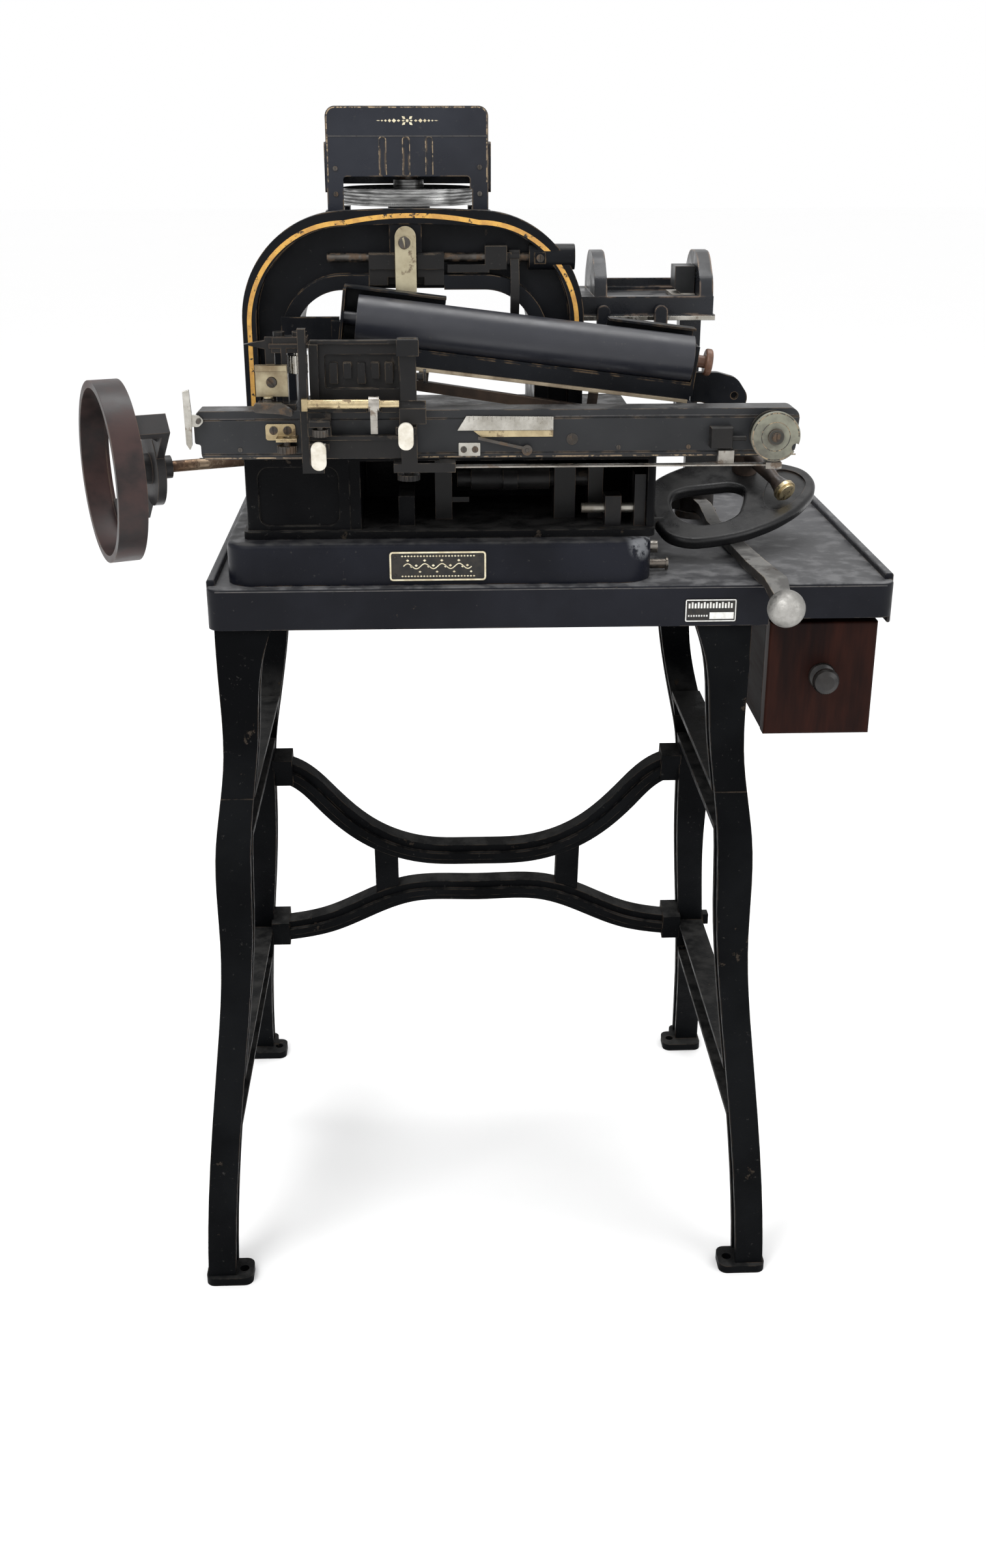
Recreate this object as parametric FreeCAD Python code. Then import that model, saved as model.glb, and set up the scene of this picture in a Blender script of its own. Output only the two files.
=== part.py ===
import FreeCAD, Part
import math
import os

from FreeCAD import Vector as V

os.makedirs("parts", exist_ok=True)

# A hand-worked plate-embossing press on a cast-iron stand with a drawer.
# Millimetres. Origin on the floor, midway between the four feet.
# +X is the operator's right, -Y faces the operator, +Z is up.

# ---- Driving dimensions: stand ----
TABLE_TOP = 750.0
TABLE_X = (-255.0, 381.0)
TABLE_Y = (-200.0, 200.0)
TABLE_PLATE = 6.0
SKIRT_DEPTH = 39.0
SKIRT_WALL = 5.0
RIM_HEIGHT = 6.0
RIM_WIDTH = 8.0
UNDER_PLATE = TABLE_TOP - TABLE_PLATE
FOOT_HOLE_X = 259.0
FOOT_HOLE_Y = 224.0
FOOT_HOLE_R = 5.0
FOOT_PAD = 9.0
FRAME_WEB = 7.0
CASE_X = (268.5, 371.0)
CASE_Y = (-168.0, 186.0)
CASE_Z = (598.0, UNDER_PLATE)
BOARD = 8.0
DRAWER_GAP = 1.0
DRAWER_FRONT_X = (268.5, 371.0)
DRAWER_FRONT_Z = (597.0, 709.0)
DRAWER_FRONT_Y = (-186.0, -169.0)

# ---- Driving dimensions: machine castings ----
BASE_X = (-236.0, 156.0)
BASE_Y = (-190.0, 170.0)
BASE_HEIGHT = 39.0
BASE_TOP = TABLE_TOP + BASE_HEIGHT
BASE_WALL = 7.0
BODY_X = (-217.0, 159.0)
BODY_Y = (-165.0, 150.0)
BODY_TOP = 868.0
BODY_WALL = 8.0
BODY_OPEN_X = (-122.0, 151.0)
ARCH_X = (-218.0, 95.0)
ARCH_TOP = 1066.5
ARCH_CROWN = 1072.5
ARCH_FRONT = -100.0
ARCH_RIM_BACK = -86.0
ARCH_BACK = 50.0
ARCH_RADIUS = 96.0
ARCH_WEB_Y = (-84.0, -72.0)
THROAT_X = (-171.0, 50.0)
THROAT_TOP = 1002.0
THROAT_RADIUS = 46.0

# ---- Driving dimensions: type wheel, ram and shafts ----
WHEEL_X = -65.0
WHEEL_Y = 10.0
WHEEL_R = 63.0
WHEEL_Z = (1071.0, 1085.5)
SPINDLE_R = 6.0
RUNNING = 0.05
GUIDE_X = (-101.0, -33.0)
GUIDE_TOP = 1034.0
ROCK_Y = -91.0
ROCK_Z = 1029.5
ROCK_R = 4.0
RAM_X = -67.5
SET_SCREW_X = 54.0
CAM_Y = -112.0
CAM_Z = 832.0
CAM_R = 11.0
HAND_ANGLE = math.radians(22.0)
HAND_Z = 848.0
HAND_ENTRY = (-217.0, -98.0)
HAND_SHAFT_R = 5.25
HAND_RIM_R = 82.0
HAND_RIM_WIDTH = 26.0
HAND_RIM_NEAR = 118.0
HAND_REACH = 29.0
HAND_ARM_TURN = -48.0

HOOD_X = (-139.0, 9.0)
HOOD_Y = (-50.0, 78.0)
HOOD_Z = (1067.5, 1157.0)

# ---- Driving dimensions: lever, dial, selector ----
LEVER_X = 236.0
LEVER_Y = 80.0
LEVER_PIN_R = 9.0
BALL = V(267.0, -255.0, 743.0)
BALL_R = 17.0
DIAL_TILT = 20.0
DIAL_ORIGIN = V(0.0, -133.0, 770.0)
DIAL_THICKNESS = 12.0
SELECTOR_PIVOT = (270.0, 134.0)
SELECTOR_HEIGHT = 24.0
SELECTOR_TIP = V(292.0, 92.0, 15.0)

# ---- Driving dimensions: rail and carriage ----
RAIL_X = (-253.0, 278.0)
RAIL_Z = (870.0, 912.0)
RAIL_FRONT = -208.0
RAIL_BACK = -182.0
RAIL_WALL = 5.0
DRUM_X = 253.0
DRUM_Z = 890.5
DRUM_R = 21.5
TAPE_Z = (864.0, 865.2)
RAIL_KNOB = V(-172.0, -218.0, 878.0)
SIDE_PIVOT = V(-188.0, -200.5, 916.0)
STOP_KNOB = V(-142.0, -233.8, 894.5)
CLAMP_KNOB = V(-67.0, -216.0, 853.0)
KNURLED_KNOB = V(-162.0, -184.0, 941.0)
CARRIAGE_FRONT = -226.0
CARRIAGE_BACK = -218.0

ROD_Y = -230.0
ROD_Z = 921.0
LEFT_KEY_X = (-150.0, -137.0)
RIGHT_KEY_X = (-75.0, -62.0)
LEFT_KEY_Z = 884.5
RIGHT_KEY_Z = 898.5
KEY_Y = -230.0
KEY_FRONT = -244.0
KEY_PIN_R = 1.5
STOP_STEM_R = 2.8
CLAMP_STEM_R = 4.0

# ---- Driving dimensions: feed tube ----
TUBE_START = V(-112.0, -135.0, 980.5)
TUBE_END = V(190.0, -135.0, 943.0)
TUBE_R = 21.5
TUBE_STUB_R = 6.0
TUBE_COLLAR_R = 11.5
TROUGH_GAP = 1.2
HOPPER_LEFT = 88.0
TROUGH_SHEET = 2.0


# ---- Shape helpers ----
def box(x, y, z):
    return Part.makeBox(x[1] - x[0], y[1] - y[0], z[1] - z[0], V(x[0], y[0], z[0]))


def rod(start, end, radius):
    start, end = V(*start), V(*end)
    return Part.makeCylinder(radius, (end - start).Length, start, end - start)


def pipe(start, end, outer, inner):
    return rod(start, end, outer).cut(rod(start, end, inner))


def cone(start, end, radius_a, radius_b):
    start, end = V(*start), V(*end)
    return Part.makeCone(radius_a, radius_b, (end - start).Length, start, end - start)


def place(axis, u, v, w):
    """Turn plane coordinates (u, v) at depth w into a point; axis names the plane's normal."""
    if axis == "x":
        return V(w, u, v)
    if axis == "y":
        return V(u, w, v)
    return V(u, v, w)


def along(axis, length):
    return place(axis, 0.0, 0.0, length)


def outline(points, axis, depth):
    """A closed wire through (u, v) or (u, v, corner radius) points, rounded with tangent arcs."""
    count = len(points)
    spots = [V(p[0], p[1], 0.0) for p in points]
    radii = [p[2] if len(p) > 2 else 0.0 for p in points]
    runs = []
    for i in range(count):
        here, before, after = spots[i], spots[i - 1], spots[(i + 1) % count]
        if radii[i] == 0.0:
            runs.append((here, here, here))
            continue
        back = (before - here).normalize()
        ahead = (after - here).normalize()
        half = back.getAngle(ahead) / 2.0
        reach = radii[i] / math.tan(half)
        middle = (back + ahead).normalize() * (radii[i] / math.sin(half) - radii[i])
        runs.append((here + back * reach, here + middle, here + ahead * reach))
    edges = []
    for i in range(count):
        start, middle, end = [place(axis, p.x, p.y, depth) for p in runs[i]]
        following = runs[(i + 1) % count][0]
        following = place(axis, following.x, following.y, depth)
        if radii[i] > 0.0:
            edges.append(Part.Arc(start, middle, end).toShape())
        if (following - end).Length > 1e-6:
            edges.append(Part.LineSegment(end, following).toShape())
    return Part.Wire(edges)


def slab(points, axis, low, high):
    """The outline pushed along its normal from low to high."""
    return Part.Face(outline(points, axis, low)).extrude(along(axis, high - low))


def plate(u, v, radius, axis, low, high):
    """A rectangle with equal rounded corners."""
    corners = [(u[0], v[0], radius), (u[1], v[0], radius), (u[1], v[1], radius), (u[0], v[1], radius)]
    return slab(corners, axis, low, high)


def strip(first, second, axis, low, high):
    """The area between two smooth lines, pushed along its normal."""
    edges = []
    ends = []
    for side in (first, second):
        spots = [place(axis, u, v, low) for u, v in side]
        curve = Part.BSplineCurve()
        curve.interpolate(spots)
        edges.append(curve.toShape())
        ends.append((spots[0], spots[-1]))
    edges.insert(1, Part.LineSegment(ends[0][1], ends[1][1]).toShape())
    edges.append(Part.LineSegment(ends[1][0], ends[0][0]).toShape())
    wire = Part.Wire(Part.__sortEdges__(edges))
    return Part.Face(wire).extrude(along(axis, high - low))


def band(points, width, axis, low, high):
    """A bar of constant width that follows a smooth line through the points."""
    line = Part.BSplineCurve()
    line.interpolate([V(u, v, 0.0) for u, v in points])
    sides = ([], [])
    for u, v in points:
        tangent = line.tangent(line.parameter(V(u, v, 0.0)))[0]
        for side, sign in zip(sides, (0.5, -0.5)):
            side.append((u - tangent.y * width * sign, v + tangent.x * width * sign))
    return strip(sides[0], sides[1], axis, low, high)


def fuse(pieces):
    shape = pieces[0]
    if len(pieces) > 1:
        shape = shape.fuse(pieces[1:])
    return shape.removeSplitter()


def cut(shape, tools):
    for tool in tools:
        shape = shape.cut(tool)
    return shape


def round_edges(shape, radius, pick):
    return shape.makeFillet(radius, [edge for edge in shape.Edges if pick(edge)])


def is_along(edge, direction):
    """True for a straight edge that runs along a direction."""
    if not isinstance(edge.Curve, Part.Line):
        return False
    return abs(abs(edge.Curve.Direction.dot(direction)) - 1.0) < 1e-6


def lies_at_z(edge, z):
    return abs(edge.BoundBox.ZMin - z) < 1e-4 and abs(edge.BoundBox.ZMax - z) < 1e-4


def mirror_x(shape):
    return shape.mirror(V(0.0, 0.0, 0.0), V(1.0, 0.0, 0.0))


def screw_head(centre, direction, radius, height):
    """A cheese-head screw lying on a surface, with a driving slot."""
    centre, direction = V(*centre), V(*direction)
    head = Part.makeCylinder(radius, height, centre, direction)
    side = V(0.0, 0.0, 1.0) if abs(direction.z) < 0.5 else V(1.0, 0.0, 0.0)
    slot = Part.makeBox(radius * 2.4, radius * 0.3, height)
    slot.translate(V(-radius * 1.2, -radius * 0.15, height * 0.55))
    turn = FreeCAD.Rotation(side, direction.cross(side), direction, "ZXY")
    slot.Placement = FreeCAD.Placement(centre, turn).multiply(slot.Placement)
    return head.cut(slot)


def solids_of(shape):
    return shape.Solids if shape.Solids else [shape]


def save(name, shape):
    """Write one node; loose pieces stay separate solids in one file."""
    pieces = shape if isinstance(shape, list) else [shape]
    pieces = [solid for piece in pieces for solid in solids_of(piece)]
    result = pieces[0] if len(pieces) == 1 else Part.makeCompound(pieces)
    for solid in pieces:
        if not solid.isValid():
            print("not valid:", name)
    result.exportStep("parts/%s.step" % name)
    bounds = result.BoundBox
    print("%-18s %2d  x %7.1f %7.1f  y %7.1f %7.1f  z %7.1f %7.1f" % (
        name, len(pieces), bounds.XMin, bounds.XMax, bounds.YMin, bounds.YMax, bounds.ZMin, bounds.ZMax))


# ---- Stand ----
def table_top():
    low = TABLE_TOP - SKIRT_DEPTH
    pan = box(TABLE_X, TABLE_Y, (low, TABLE_TOP))
    pan = round_edges(pan, 14.0, lambda edge: is_along(edge, V(0, 0, 1)))
    pan = round_edges(pan, 3.0, lambda edge: lies_at_z(edge, TABLE_TOP))
    inner_x = (TABLE_X[0] + SKIRT_WALL, TABLE_X[1] - SKIRT_WALL)
    inner_y = (TABLE_Y[0] + SKIRT_WALL, TABLE_Y[1] - SKIRT_WALL)
    hollow = box(inner_x, inner_y, (low, UNDER_PLATE))
    drawer_notch = box((264.0, 383.0), (TABLE_Y[0] - 1.0, inner_y[0]), (low - 1.0, low + 6.0))
    low_rim = TABLE_TOP - 3.0
    rims = []
    for x in ((TABLE_X[0], TABLE_X[0] + RIM_WIDTH), (TABLE_X[1] - RIM_WIDTH, TABLE_X[1])):
        rims.append(box(x, (TABLE_Y[0] + 14.0, TABLE_Y[1] - 14.0), (low_rim, TABLE_TOP + RIM_HEIGHT)))
    back = (TABLE_Y[1] - RIM_WIDTH, TABLE_Y[1])
    rims.append(box((TABLE_X[0] + 14.0, TABLE_X[1] - 14.0), back, (low_rim, TABLE_TOP + RIM_HEIGHT)))
    rims = [round_edges(rim, 2.5, lambda edge: lies_at_z(edge, TABLE_TOP + RIM_HEIGHT)) for rim in rims]
    return fuse([cut(pan, [hollow, drawer_notch])] + rims)


# Front view of the right leg: its outer and inner edges as (x, z).
LEG_OUTER = [(296.0, 0.0), (272.0, 269.0), (262.0, 386.0), (261.0, 490.0), (248.5, 580.0), (248.6, 660.0),
             (248.6, UNDER_PLATE)]
LEG_INNER = [(267.0, 0.0), (243.0, 270.0), (229.5, 415.0), (226.5, 500.0), (214.0, 611.0), (207.0, 680.0),
             (197.0, 711.0), (188.0, UNDER_PLATE)]
# Side view of the bowed back leg as (y, z).
BACK_LEG = [(165.0, UNDER_PLATE), (168.0, 650.0), (158.0, 578.0), (122.0, 535.0), (83.0, 505.0),
            (72.0, 465.0),
            (78.0, 400.0), (103.0, 320.0), (130.0, 257.0), (158.0, 195.0), (192.0, 125.0), (222.0, 59.0),
            (238.0, 4.0)]


def side_members(inset, low, high):
    """Side view of one side frame: front leg, bowed back leg, top rail and two ties, all inset."""
    front_leg = slab([(-192.5 + inset, UNDER_PLATE - inset), (-165.0 - inset, UNDER_PLATE - inset),
                      (-206.0 - inset, 4.0 + inset), (-236.0 + inset, 4.0 + inset)], "x", low, high)
    back_leg = band(BACK_LEG, 28.0 - 2.0 * inset, "x", low, high)
    top_rail = box((low, high), (-190.0 + inset, 170.0 - inset), (716.0 + inset, UNDER_PLATE - inset))
    upper_tie = box((low, high), (-205.0 + inset, 92.0 - inset), (495.0 + inset, 545.0 - inset))
    lower_tie = box((low, high), (-216.0 + inset, 162.0 - inset), (172.0 + inset, 238.0 - inset))
    return fuse([front_leg, back_leg, top_rail, upper_tie, lower_tie])


def right_side_frame():
    front_view = strip(LEG_OUTER, LEG_INNER, "y", -260.0, 270.0)
    casting = side_members(0.0, 180.0, 300.0).common(front_view)
    pocket = front_view.copy()
    pocket.translate(V(-FRAME_WEB, 0.0, 0.0))
    casting = casting.cut(side_members(FRAME_WEB, 180.0, 300.0).common(pocket))
    pads = []
    for sign in (-1.0, 1.0):
        y = sign * FOOT_HOLE_Y
        pads.append(plate((249.0, 298.0), (y - 17.0, y + 17.0), 9.0, "z", 0.0, FOOT_PAD))
    pads[1] = fuse([pads[1], plate((262.0, 298.0), (222.0, 258.0), 9.0, "z", 0.0, FOOT_PAD)])
    shape = fuse([casting] + pads)
    holes = [rod((FOOT_HOLE_X, y, -1.0), (FOOT_HOLE_X, y, 40.0), FOOT_HOLE_R)
             for y in (-FOOT_HOLE_Y, FOOT_HOLE_Y)]
    return cut(shape, holes)


STRETCHER_PIVOT = V(0.0, 72.0, 467.0)
STRETCHER_TILT = 13.1


def stretcher():
    """Two bowed bars with two uprights between them, in a plane that leans back at the bottom."""
    upper = [(-226.0, 0.0), (-200.0, -12.0), (-172.0, -44.0), (-118.0, -98.0), (-60.0, -121.0),
             (0.0, -123.5),
             (60.0, -121.0), (118.0, -98.0), (172.0, -44.0), (200.0, -12.0), (226.0, 0.0)]
    lower = [(-243.5, -238.0), (-226.0, -236.0), (-178.0, -225.0), (-117.0, -194.0), (-80.0, -180.0),
             (0.0, -178.0),
             (80.0, -180.0), (117.0, -194.0), (178.0, -225.0), (226.0, -236.0), (243.5, -238.0)]
    pieces = [band(upper, 28.0, "y", -8.0, 8.0), band(lower, 28.0, "y", -8.0, 8.0)]
    for line in (upper, lower):
        pieces.append(band(line, 9.0, "y", -12.0, -4.0))
    for sign in (-1.0, 1.0):
        pieces.append(plate(sorted((sign * 93.0, sign * 120.0)), (-190.0, -100.0), 3.0, "y", -7.0, 7.0))
        pieces.append(box(sorted((sign * 208.0, sign * 230.0)), (-13.0, 13.0), (-17.0, 17.0)))
        pieces.append(box(sorted((sign * 226.0, sign * 247.0)), (-13.0, 20.0), (-254.0, -221.0)))
    shape = fuse(pieces)
    shape.rotate(V(0, 0, 0), V(1, 0, 0), STRETCHER_TILT)
    shape.translate(STRETCHER_PIVOT)
    return shape


def square_bolt(centre, direction, size, height):
    """A square head with a short round washer under it, standing out along direction."""
    washer = rod(centre, V(*centre) + V(*direction) * 2.0, size * 0.75)
    head = Part.makeBox(size, size, height, V(-size / 2.0, -size / 2.0, 2.0))
    turn = FreeCAD.Rotation(V(0, 0, 1), V(*direction))
    head.Placement = FreeCAD.Placement(V(*centre), turn)
    return fuse([washer, head])


def frame_bolts():
    """Square-head bolts: two at each stretcher end on the outside and four under each side frame's rail."""
    bolts = []
    for sign in (-1.0, 1.0):
        bolts.append(square_bolt((sign * 262.0, 72.0, 467.0), (sign, 0.0, 0.0), 13.0, 7.0))
        bolts.append(square_bolt((sign * 275.0, 134.0, 236.0), (sign, 0.0, 0.0), 13.0, 7.0))
        for y in (-120.0, -40.0, 40.0, 120.0):
            bolts.append(square_bolt((sign * 228.0, y, 716.0), (0.0, 0.0, -1.0), 12.0, 6.0))
    return bolts


def drawer_case():
    """Five boards around the drawer: top, bottom, two sides and a back."""
    x, y, z = CASE_X, CASE_Y, CASE_Z
    inner_z = (z[0] + BOARD, z[1] - 34.0)
    boards = [box(x, y, (z[0], z[0] + BOARD)), box(x, y, (inner_z[1], z[1]))]
    boards.append(box((x[0], x[0] + BOARD), y, inner_z))
    boards.append(box((x[1] - BOARD, x[1]), y, inner_z))
    boards.append(box((x[0] + BOARD, x[1] - BOARD), (y[1] - BOARD, y[1]), inner_z))
    return boards


def drawer_box():
    """The drawer's bottom, two sides and back, behind its front."""
    x = (CASE_X[0] + BOARD + DRAWER_GAP, CASE_X[1] - BOARD - DRAWER_GAP)
    y = (DRAWER_FRONT_Y[1], CASE_Y[1] - BOARD - 4.0)
    z = (CASE_Z[0] + BOARD + DRAWER_GAP, 698.0)
    floor = 5.0
    wall = 7.0
    boards = [box(x, y, (z[0], z[0] + floor))]
    for side in ((x[0], x[0] + wall), (x[1] - wall, x[1])):
        boards.append(box(side, y, (z[0] + floor, z[1])))
    boards.append(box((x[0] + wall, x[1] - wall), (y[1] - wall, y[1]), (z[0] + floor, z[1] - 8.0)))
    return boards


def drawer_front():
    panel = box(DRAWER_FRONT_X, DRAWER_FRONT_Y, DRAWER_FRONT_Z)
    return round_edges(panel, 2.5, lambda edge: edge.BoundBox.YMax < DRAWER_FRONT_Y[0] + 0.1)


def drawer_knob():
    """A turned knob: narrow neck and mushroom head, revolved about its Y axis."""
    x = (DRAWER_FRONT_X[0] + DRAWER_FRONT_X[1]) / 2.0 + 1.0
    z = 656.5
    y = DRAWER_FRONT_Y[0]
    profile = [(0.0, 0.0), (12.5, 0.0), (13.0, 2.0), (12.0, 4.0), (7.0, 6.5), (6.5, 10.0), (9.5, 12.5),
               (12.2, 16.0),
               (12.6, 19.5), (11.0, 22.5), (7.0, 24.5), (0.0, 25.2)]
    spots = [V(x + r, y - h, z) for r, h in profile]
    wire = Part.makePolygon(spots + [spots[0]])
    return Part.Face(wire).revolve(V(x, y, z), V(0, 1, 0), 360)


# ---- Machine castings ----
def machine_base():
    corners = [(BASE_X[0], BASE_Y[0], 24.0), (BASE_X[1], BASE_Y[0], 30.0), (BASE_X[1], BASE_Y[1], 20.0),
               (BASE_X[0], BASE_Y[1], 20.0)]
    shape = slab(corners, "z", TABLE_TOP, BASE_TOP)
    shape = round_edges(shape, 5.0, lambda edge: lies_at_z(edge, BASE_TOP))
    hollow = plate((BASE_X[0] + BASE_WALL, BASE_X[1] - BASE_WALL),
                   (BASE_Y[0] + BASE_WALL, BASE_Y[1] - BASE_WALL),
                   16.0, "z", TABLE_TOP, BASE_TOP - BASE_WALL)
    slot = box((BASE_X[1] - 10.0, BASE_X[1] + 5.0), (34.0, 104.0), (TABLE_TOP + 5.0, TABLE_TOP + 32.0))
    return cut(shape, [hollow, slot])


def nameplates():
    """A blank plate with a raised border and four pins, and a blank stock label on the table's skirt."""
    y = BASE_Y[0]
    x = (-87.0, 2.0)
    z = (754.0, 782.0)
    sheet = plate(x, z, 3.0, "y", y - 1.2, y)
    field = plate((x[0] + 2.5, x[1] - 2.5), (z[0] + 2.5, z[1] - 2.5), 1.5, "y", y - 1.5, y - 0.8)
    sheet = sheet.cut(field)
    pins = []
    for px in (x[0] + 5.5, x[1] - 5.5):
        for pz in (z[0] + 5.5, z[1] - 5.5):
            pins.append(rod((px, y - 1.6, pz), (px, y - 0.5, pz), 1.3))
    label = plate((185.0, 233.0), (715.0, 737.0), 2.0, "y", TABLE_Y[0] - 0.8, TABLE_Y[0])
    return [fuse([sheet] + pins), label]


def base_pins():
    """Two stub pins that stand out of the base's right side."""
    x = BASE_X[1]
    pins = [rod((x, -120.0, 766.5), (x + 12.0, -120.0, 766.5), 6.0)]
    pins.append(rod((x, -146.0, 756.5), (x + 17.0, -146.0, 756.5), 4.5))
    pins.append(rod((x + 17.0, -146.0, 756.5), (x + 19.0, -146.0, 756.5), 6.0))
    return [pins[0], fuse(pins[1:])]


def hand_point(distance, height=HAND_Z):
    """A point on the handwheel shaft's axis, a distance outwards from the body's left face."""
    return V(HAND_ENTRY[0] - math.cos(HAND_ANGLE) * distance,
             HAND_ENTRY[1] - math.sin(HAND_ANGLE) * distance, height)


def body_casting():
    x, y, z = BODY_X, BODY_Y, (BASE_TOP, BODY_TOP)
    wall = BODY_WALL
    shell = box(x, y, z)
    shell = round_edges(shell, 6.0, lambda edge: is_along(edge, V(0, 0, 1)))
    hollow = box((x[0] + wall, x[1] - wall), (y[0] + wall, y[1] - wall), (z[0] + 6.0, z[1] - 9.0))
    front_opening = box(BODY_OPEN_X, (y[0] - 1.0, y[0] + wall + 1.0), (z[0] + 6.0, z[1] - 9.0))
    flare = slab([(x[0] - 3.0, y[0] - 6.0, 8.0), (x[1], y[0] - 6.0, 8.0), (x[1], y[1], 6.0),
                  (x[0] - 3.0, y[1], 6.0)],
                 "z", z[0], z[0] + 7.0)
    ribs = [box((-122.0, -112.0), (y[0] + 1.0, -20.0), (z[0] + 5.0, z[1] - 8.0)),
            box((-78.0, -63.0), (y[0] + 14.0, -60.0), (z[0] + 5.0, 824.0)),
            box((x[0] + 7.0, x[1] - 7.0), (-24.0, -16.0), (z[0] + 5.0, 846.0))]
    shaft_hole = rod(hand_point(-30.0), hand_point(30.0), HAND_SHAFT_R + RUNNING)
    boss = rod(hand_point(-22.0), hand_point(4.0), 11.0)
    boss = boss.common(box((x[0] - 2.5, x[0] + 30.0), (-160.0, -40.0), z))
    shape = fuse([cut(shell, [hollow, front_opening]), flare] + ribs + [boss])
    panel = plate((-205.0, -132.0), (800.0, 854.0), 10.0, "y", y[0] - 1.0, y[0] + 3.0)
    return cut(shape, [shaft_hole, panel])


def arch_outline(inset, low, high):
    """Front view of the inverted-U frame; inset pulls every edge of the metal back."""
    x = (ARCH_X[0] + inset, ARCH_X[1] - inset)
    top = ARCH_TOP - inset
    crown = ARCH_CROWN - inset
    radius = ARCH_RADIUS - inset
    throat = (THROAT_X[0] - inset, THROAT_X[1] + inset)
    throat_top = THROAT_TOP + inset
    throat_radius = THROAT_RADIUS + inset
    points = [(x[0], BODY_TOP), (x[0], top, radius), ((x[0] + x[1]) / 2.0, crown, 700.0),
              (x[1], top, radius),
              (x[1], BODY_TOP), (throat[1], BODY_TOP), (throat[1], throat_top, throat_radius),
              (throat[0], throat_top, throat_radius), (throat[0], BODY_TOP)]
    return slab(points, "y", low, high)


def arch_frame():
    rim_step = 7.0
    rim_width = 13.0
    flange = 9.0
    front = arch_outline(0.0, ARCH_FRONT, ARCH_RIM_BACK)
    outer = arch_outline(0.0, ARCH_RIM_BACK - 0.5, ARCH_BACK)
    x = (ARCH_X[0] + rim_step, ARCH_X[1] - rim_step)
    keep = [(x[0], BODY_TOP), (x[0], ARCH_TOP - rim_step, ARCH_RADIUS - rim_step),
            ((x[0] + x[1]) / 2.0, ARCH_CROWN - rim_step, 700.0), (x[1], ARCH_TOP - rim_step,
                                                                  ARCH_RADIUS - rim_step),
            (x[1], BODY_TOP)]
    outer = outer.common(slab(keep, "y", ARCH_RIM_BACK - 1.0, ARCH_BACK))
    shape = fuse([front, outer])
    front_pocket = arch_outline(rim_width, ARCH_FRONT - 1.0, ARCH_WEB_Y[0])
    back_pocket = arch_outline(rim_step + flange, ARCH_WEB_Y[1], ARCH_BACK + 1.0)
    shape = cut(shape, [front_pocket, back_pocket])
    link_plate = plate((-82.0, -53.0), (GUIDE_TOP - 6.0, 1062.0), 5.0, "y", ARCH_FRONT + 1.0,
                       ARCH_WEB_Y[0] + 1.0)
    boss = rod((44.0, ROCK_Y, ROCK_Z), (86.0, ROCK_Y, ROCK_Z), 11.0)
    boss = boss.fuse(box((44.0, 86.0), (ROCK_Y, ARCH_WEB_Y[0] + 1.0), (ROCK_Z - 11.0, ROCK_Z + 11.0)))
    boss = boss.fuse(box((SET_SCREW_X - 5.0, SET_SCREW_X + 5.0), (ROCK_Y - 12.0, ROCK_Y - 6.0),
                         (ROCK_Z - 5.0, ROCK_Z + 5.0)))
    spindle_boss = rod((WHEEL_X, WHEEL_Y, 1040.0), (WHEEL_X, WHEEL_Y, 1069.0), 20.0)
    hood_pads = [box(px, py, (1046.0, HOOD_Z[0])) for px in ((-141.0, -122.0), (-8.0, 11.0))
                 for py in ((-52.0, -32.0), (28.0, 46.0))]
    feet = [box((ARCH_X[0], THROAT_X[0] + 10.0), (ARCH_FRONT, ARCH_BACK), (BODY_TOP, BODY_TOP + 10.0)),
            box((THROAT_X[1] - 10.0, ARCH_X[1]), (ARCH_FRONT, ARCH_BACK), (BODY_TOP, BODY_TOP + 10.0))]
    shape = fuse([shape, link_plate, boss, spindle_boss] + hood_pads + feet)
    shaft_hole = rod((40.0, ROCK_Y, ROCK_Z), (90.0, ROCK_Y, ROCK_Z), ROCK_R + RUNNING)
    spindle_hole = rod((WHEEL_X, WHEEL_Y, 1030.0), (WHEEL_X, WHEEL_Y, 1072.0), SPINDLE_R)
    guide_seat = box(GUIDE_X, (ARCH_FRONT - 1.0, ARCH_WEB_Y[0]), (THROAT_TOP - 2.0, GUIDE_TOP))
    return cut(shape, [shaft_hole, spindle_hole, guide_seat])


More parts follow.
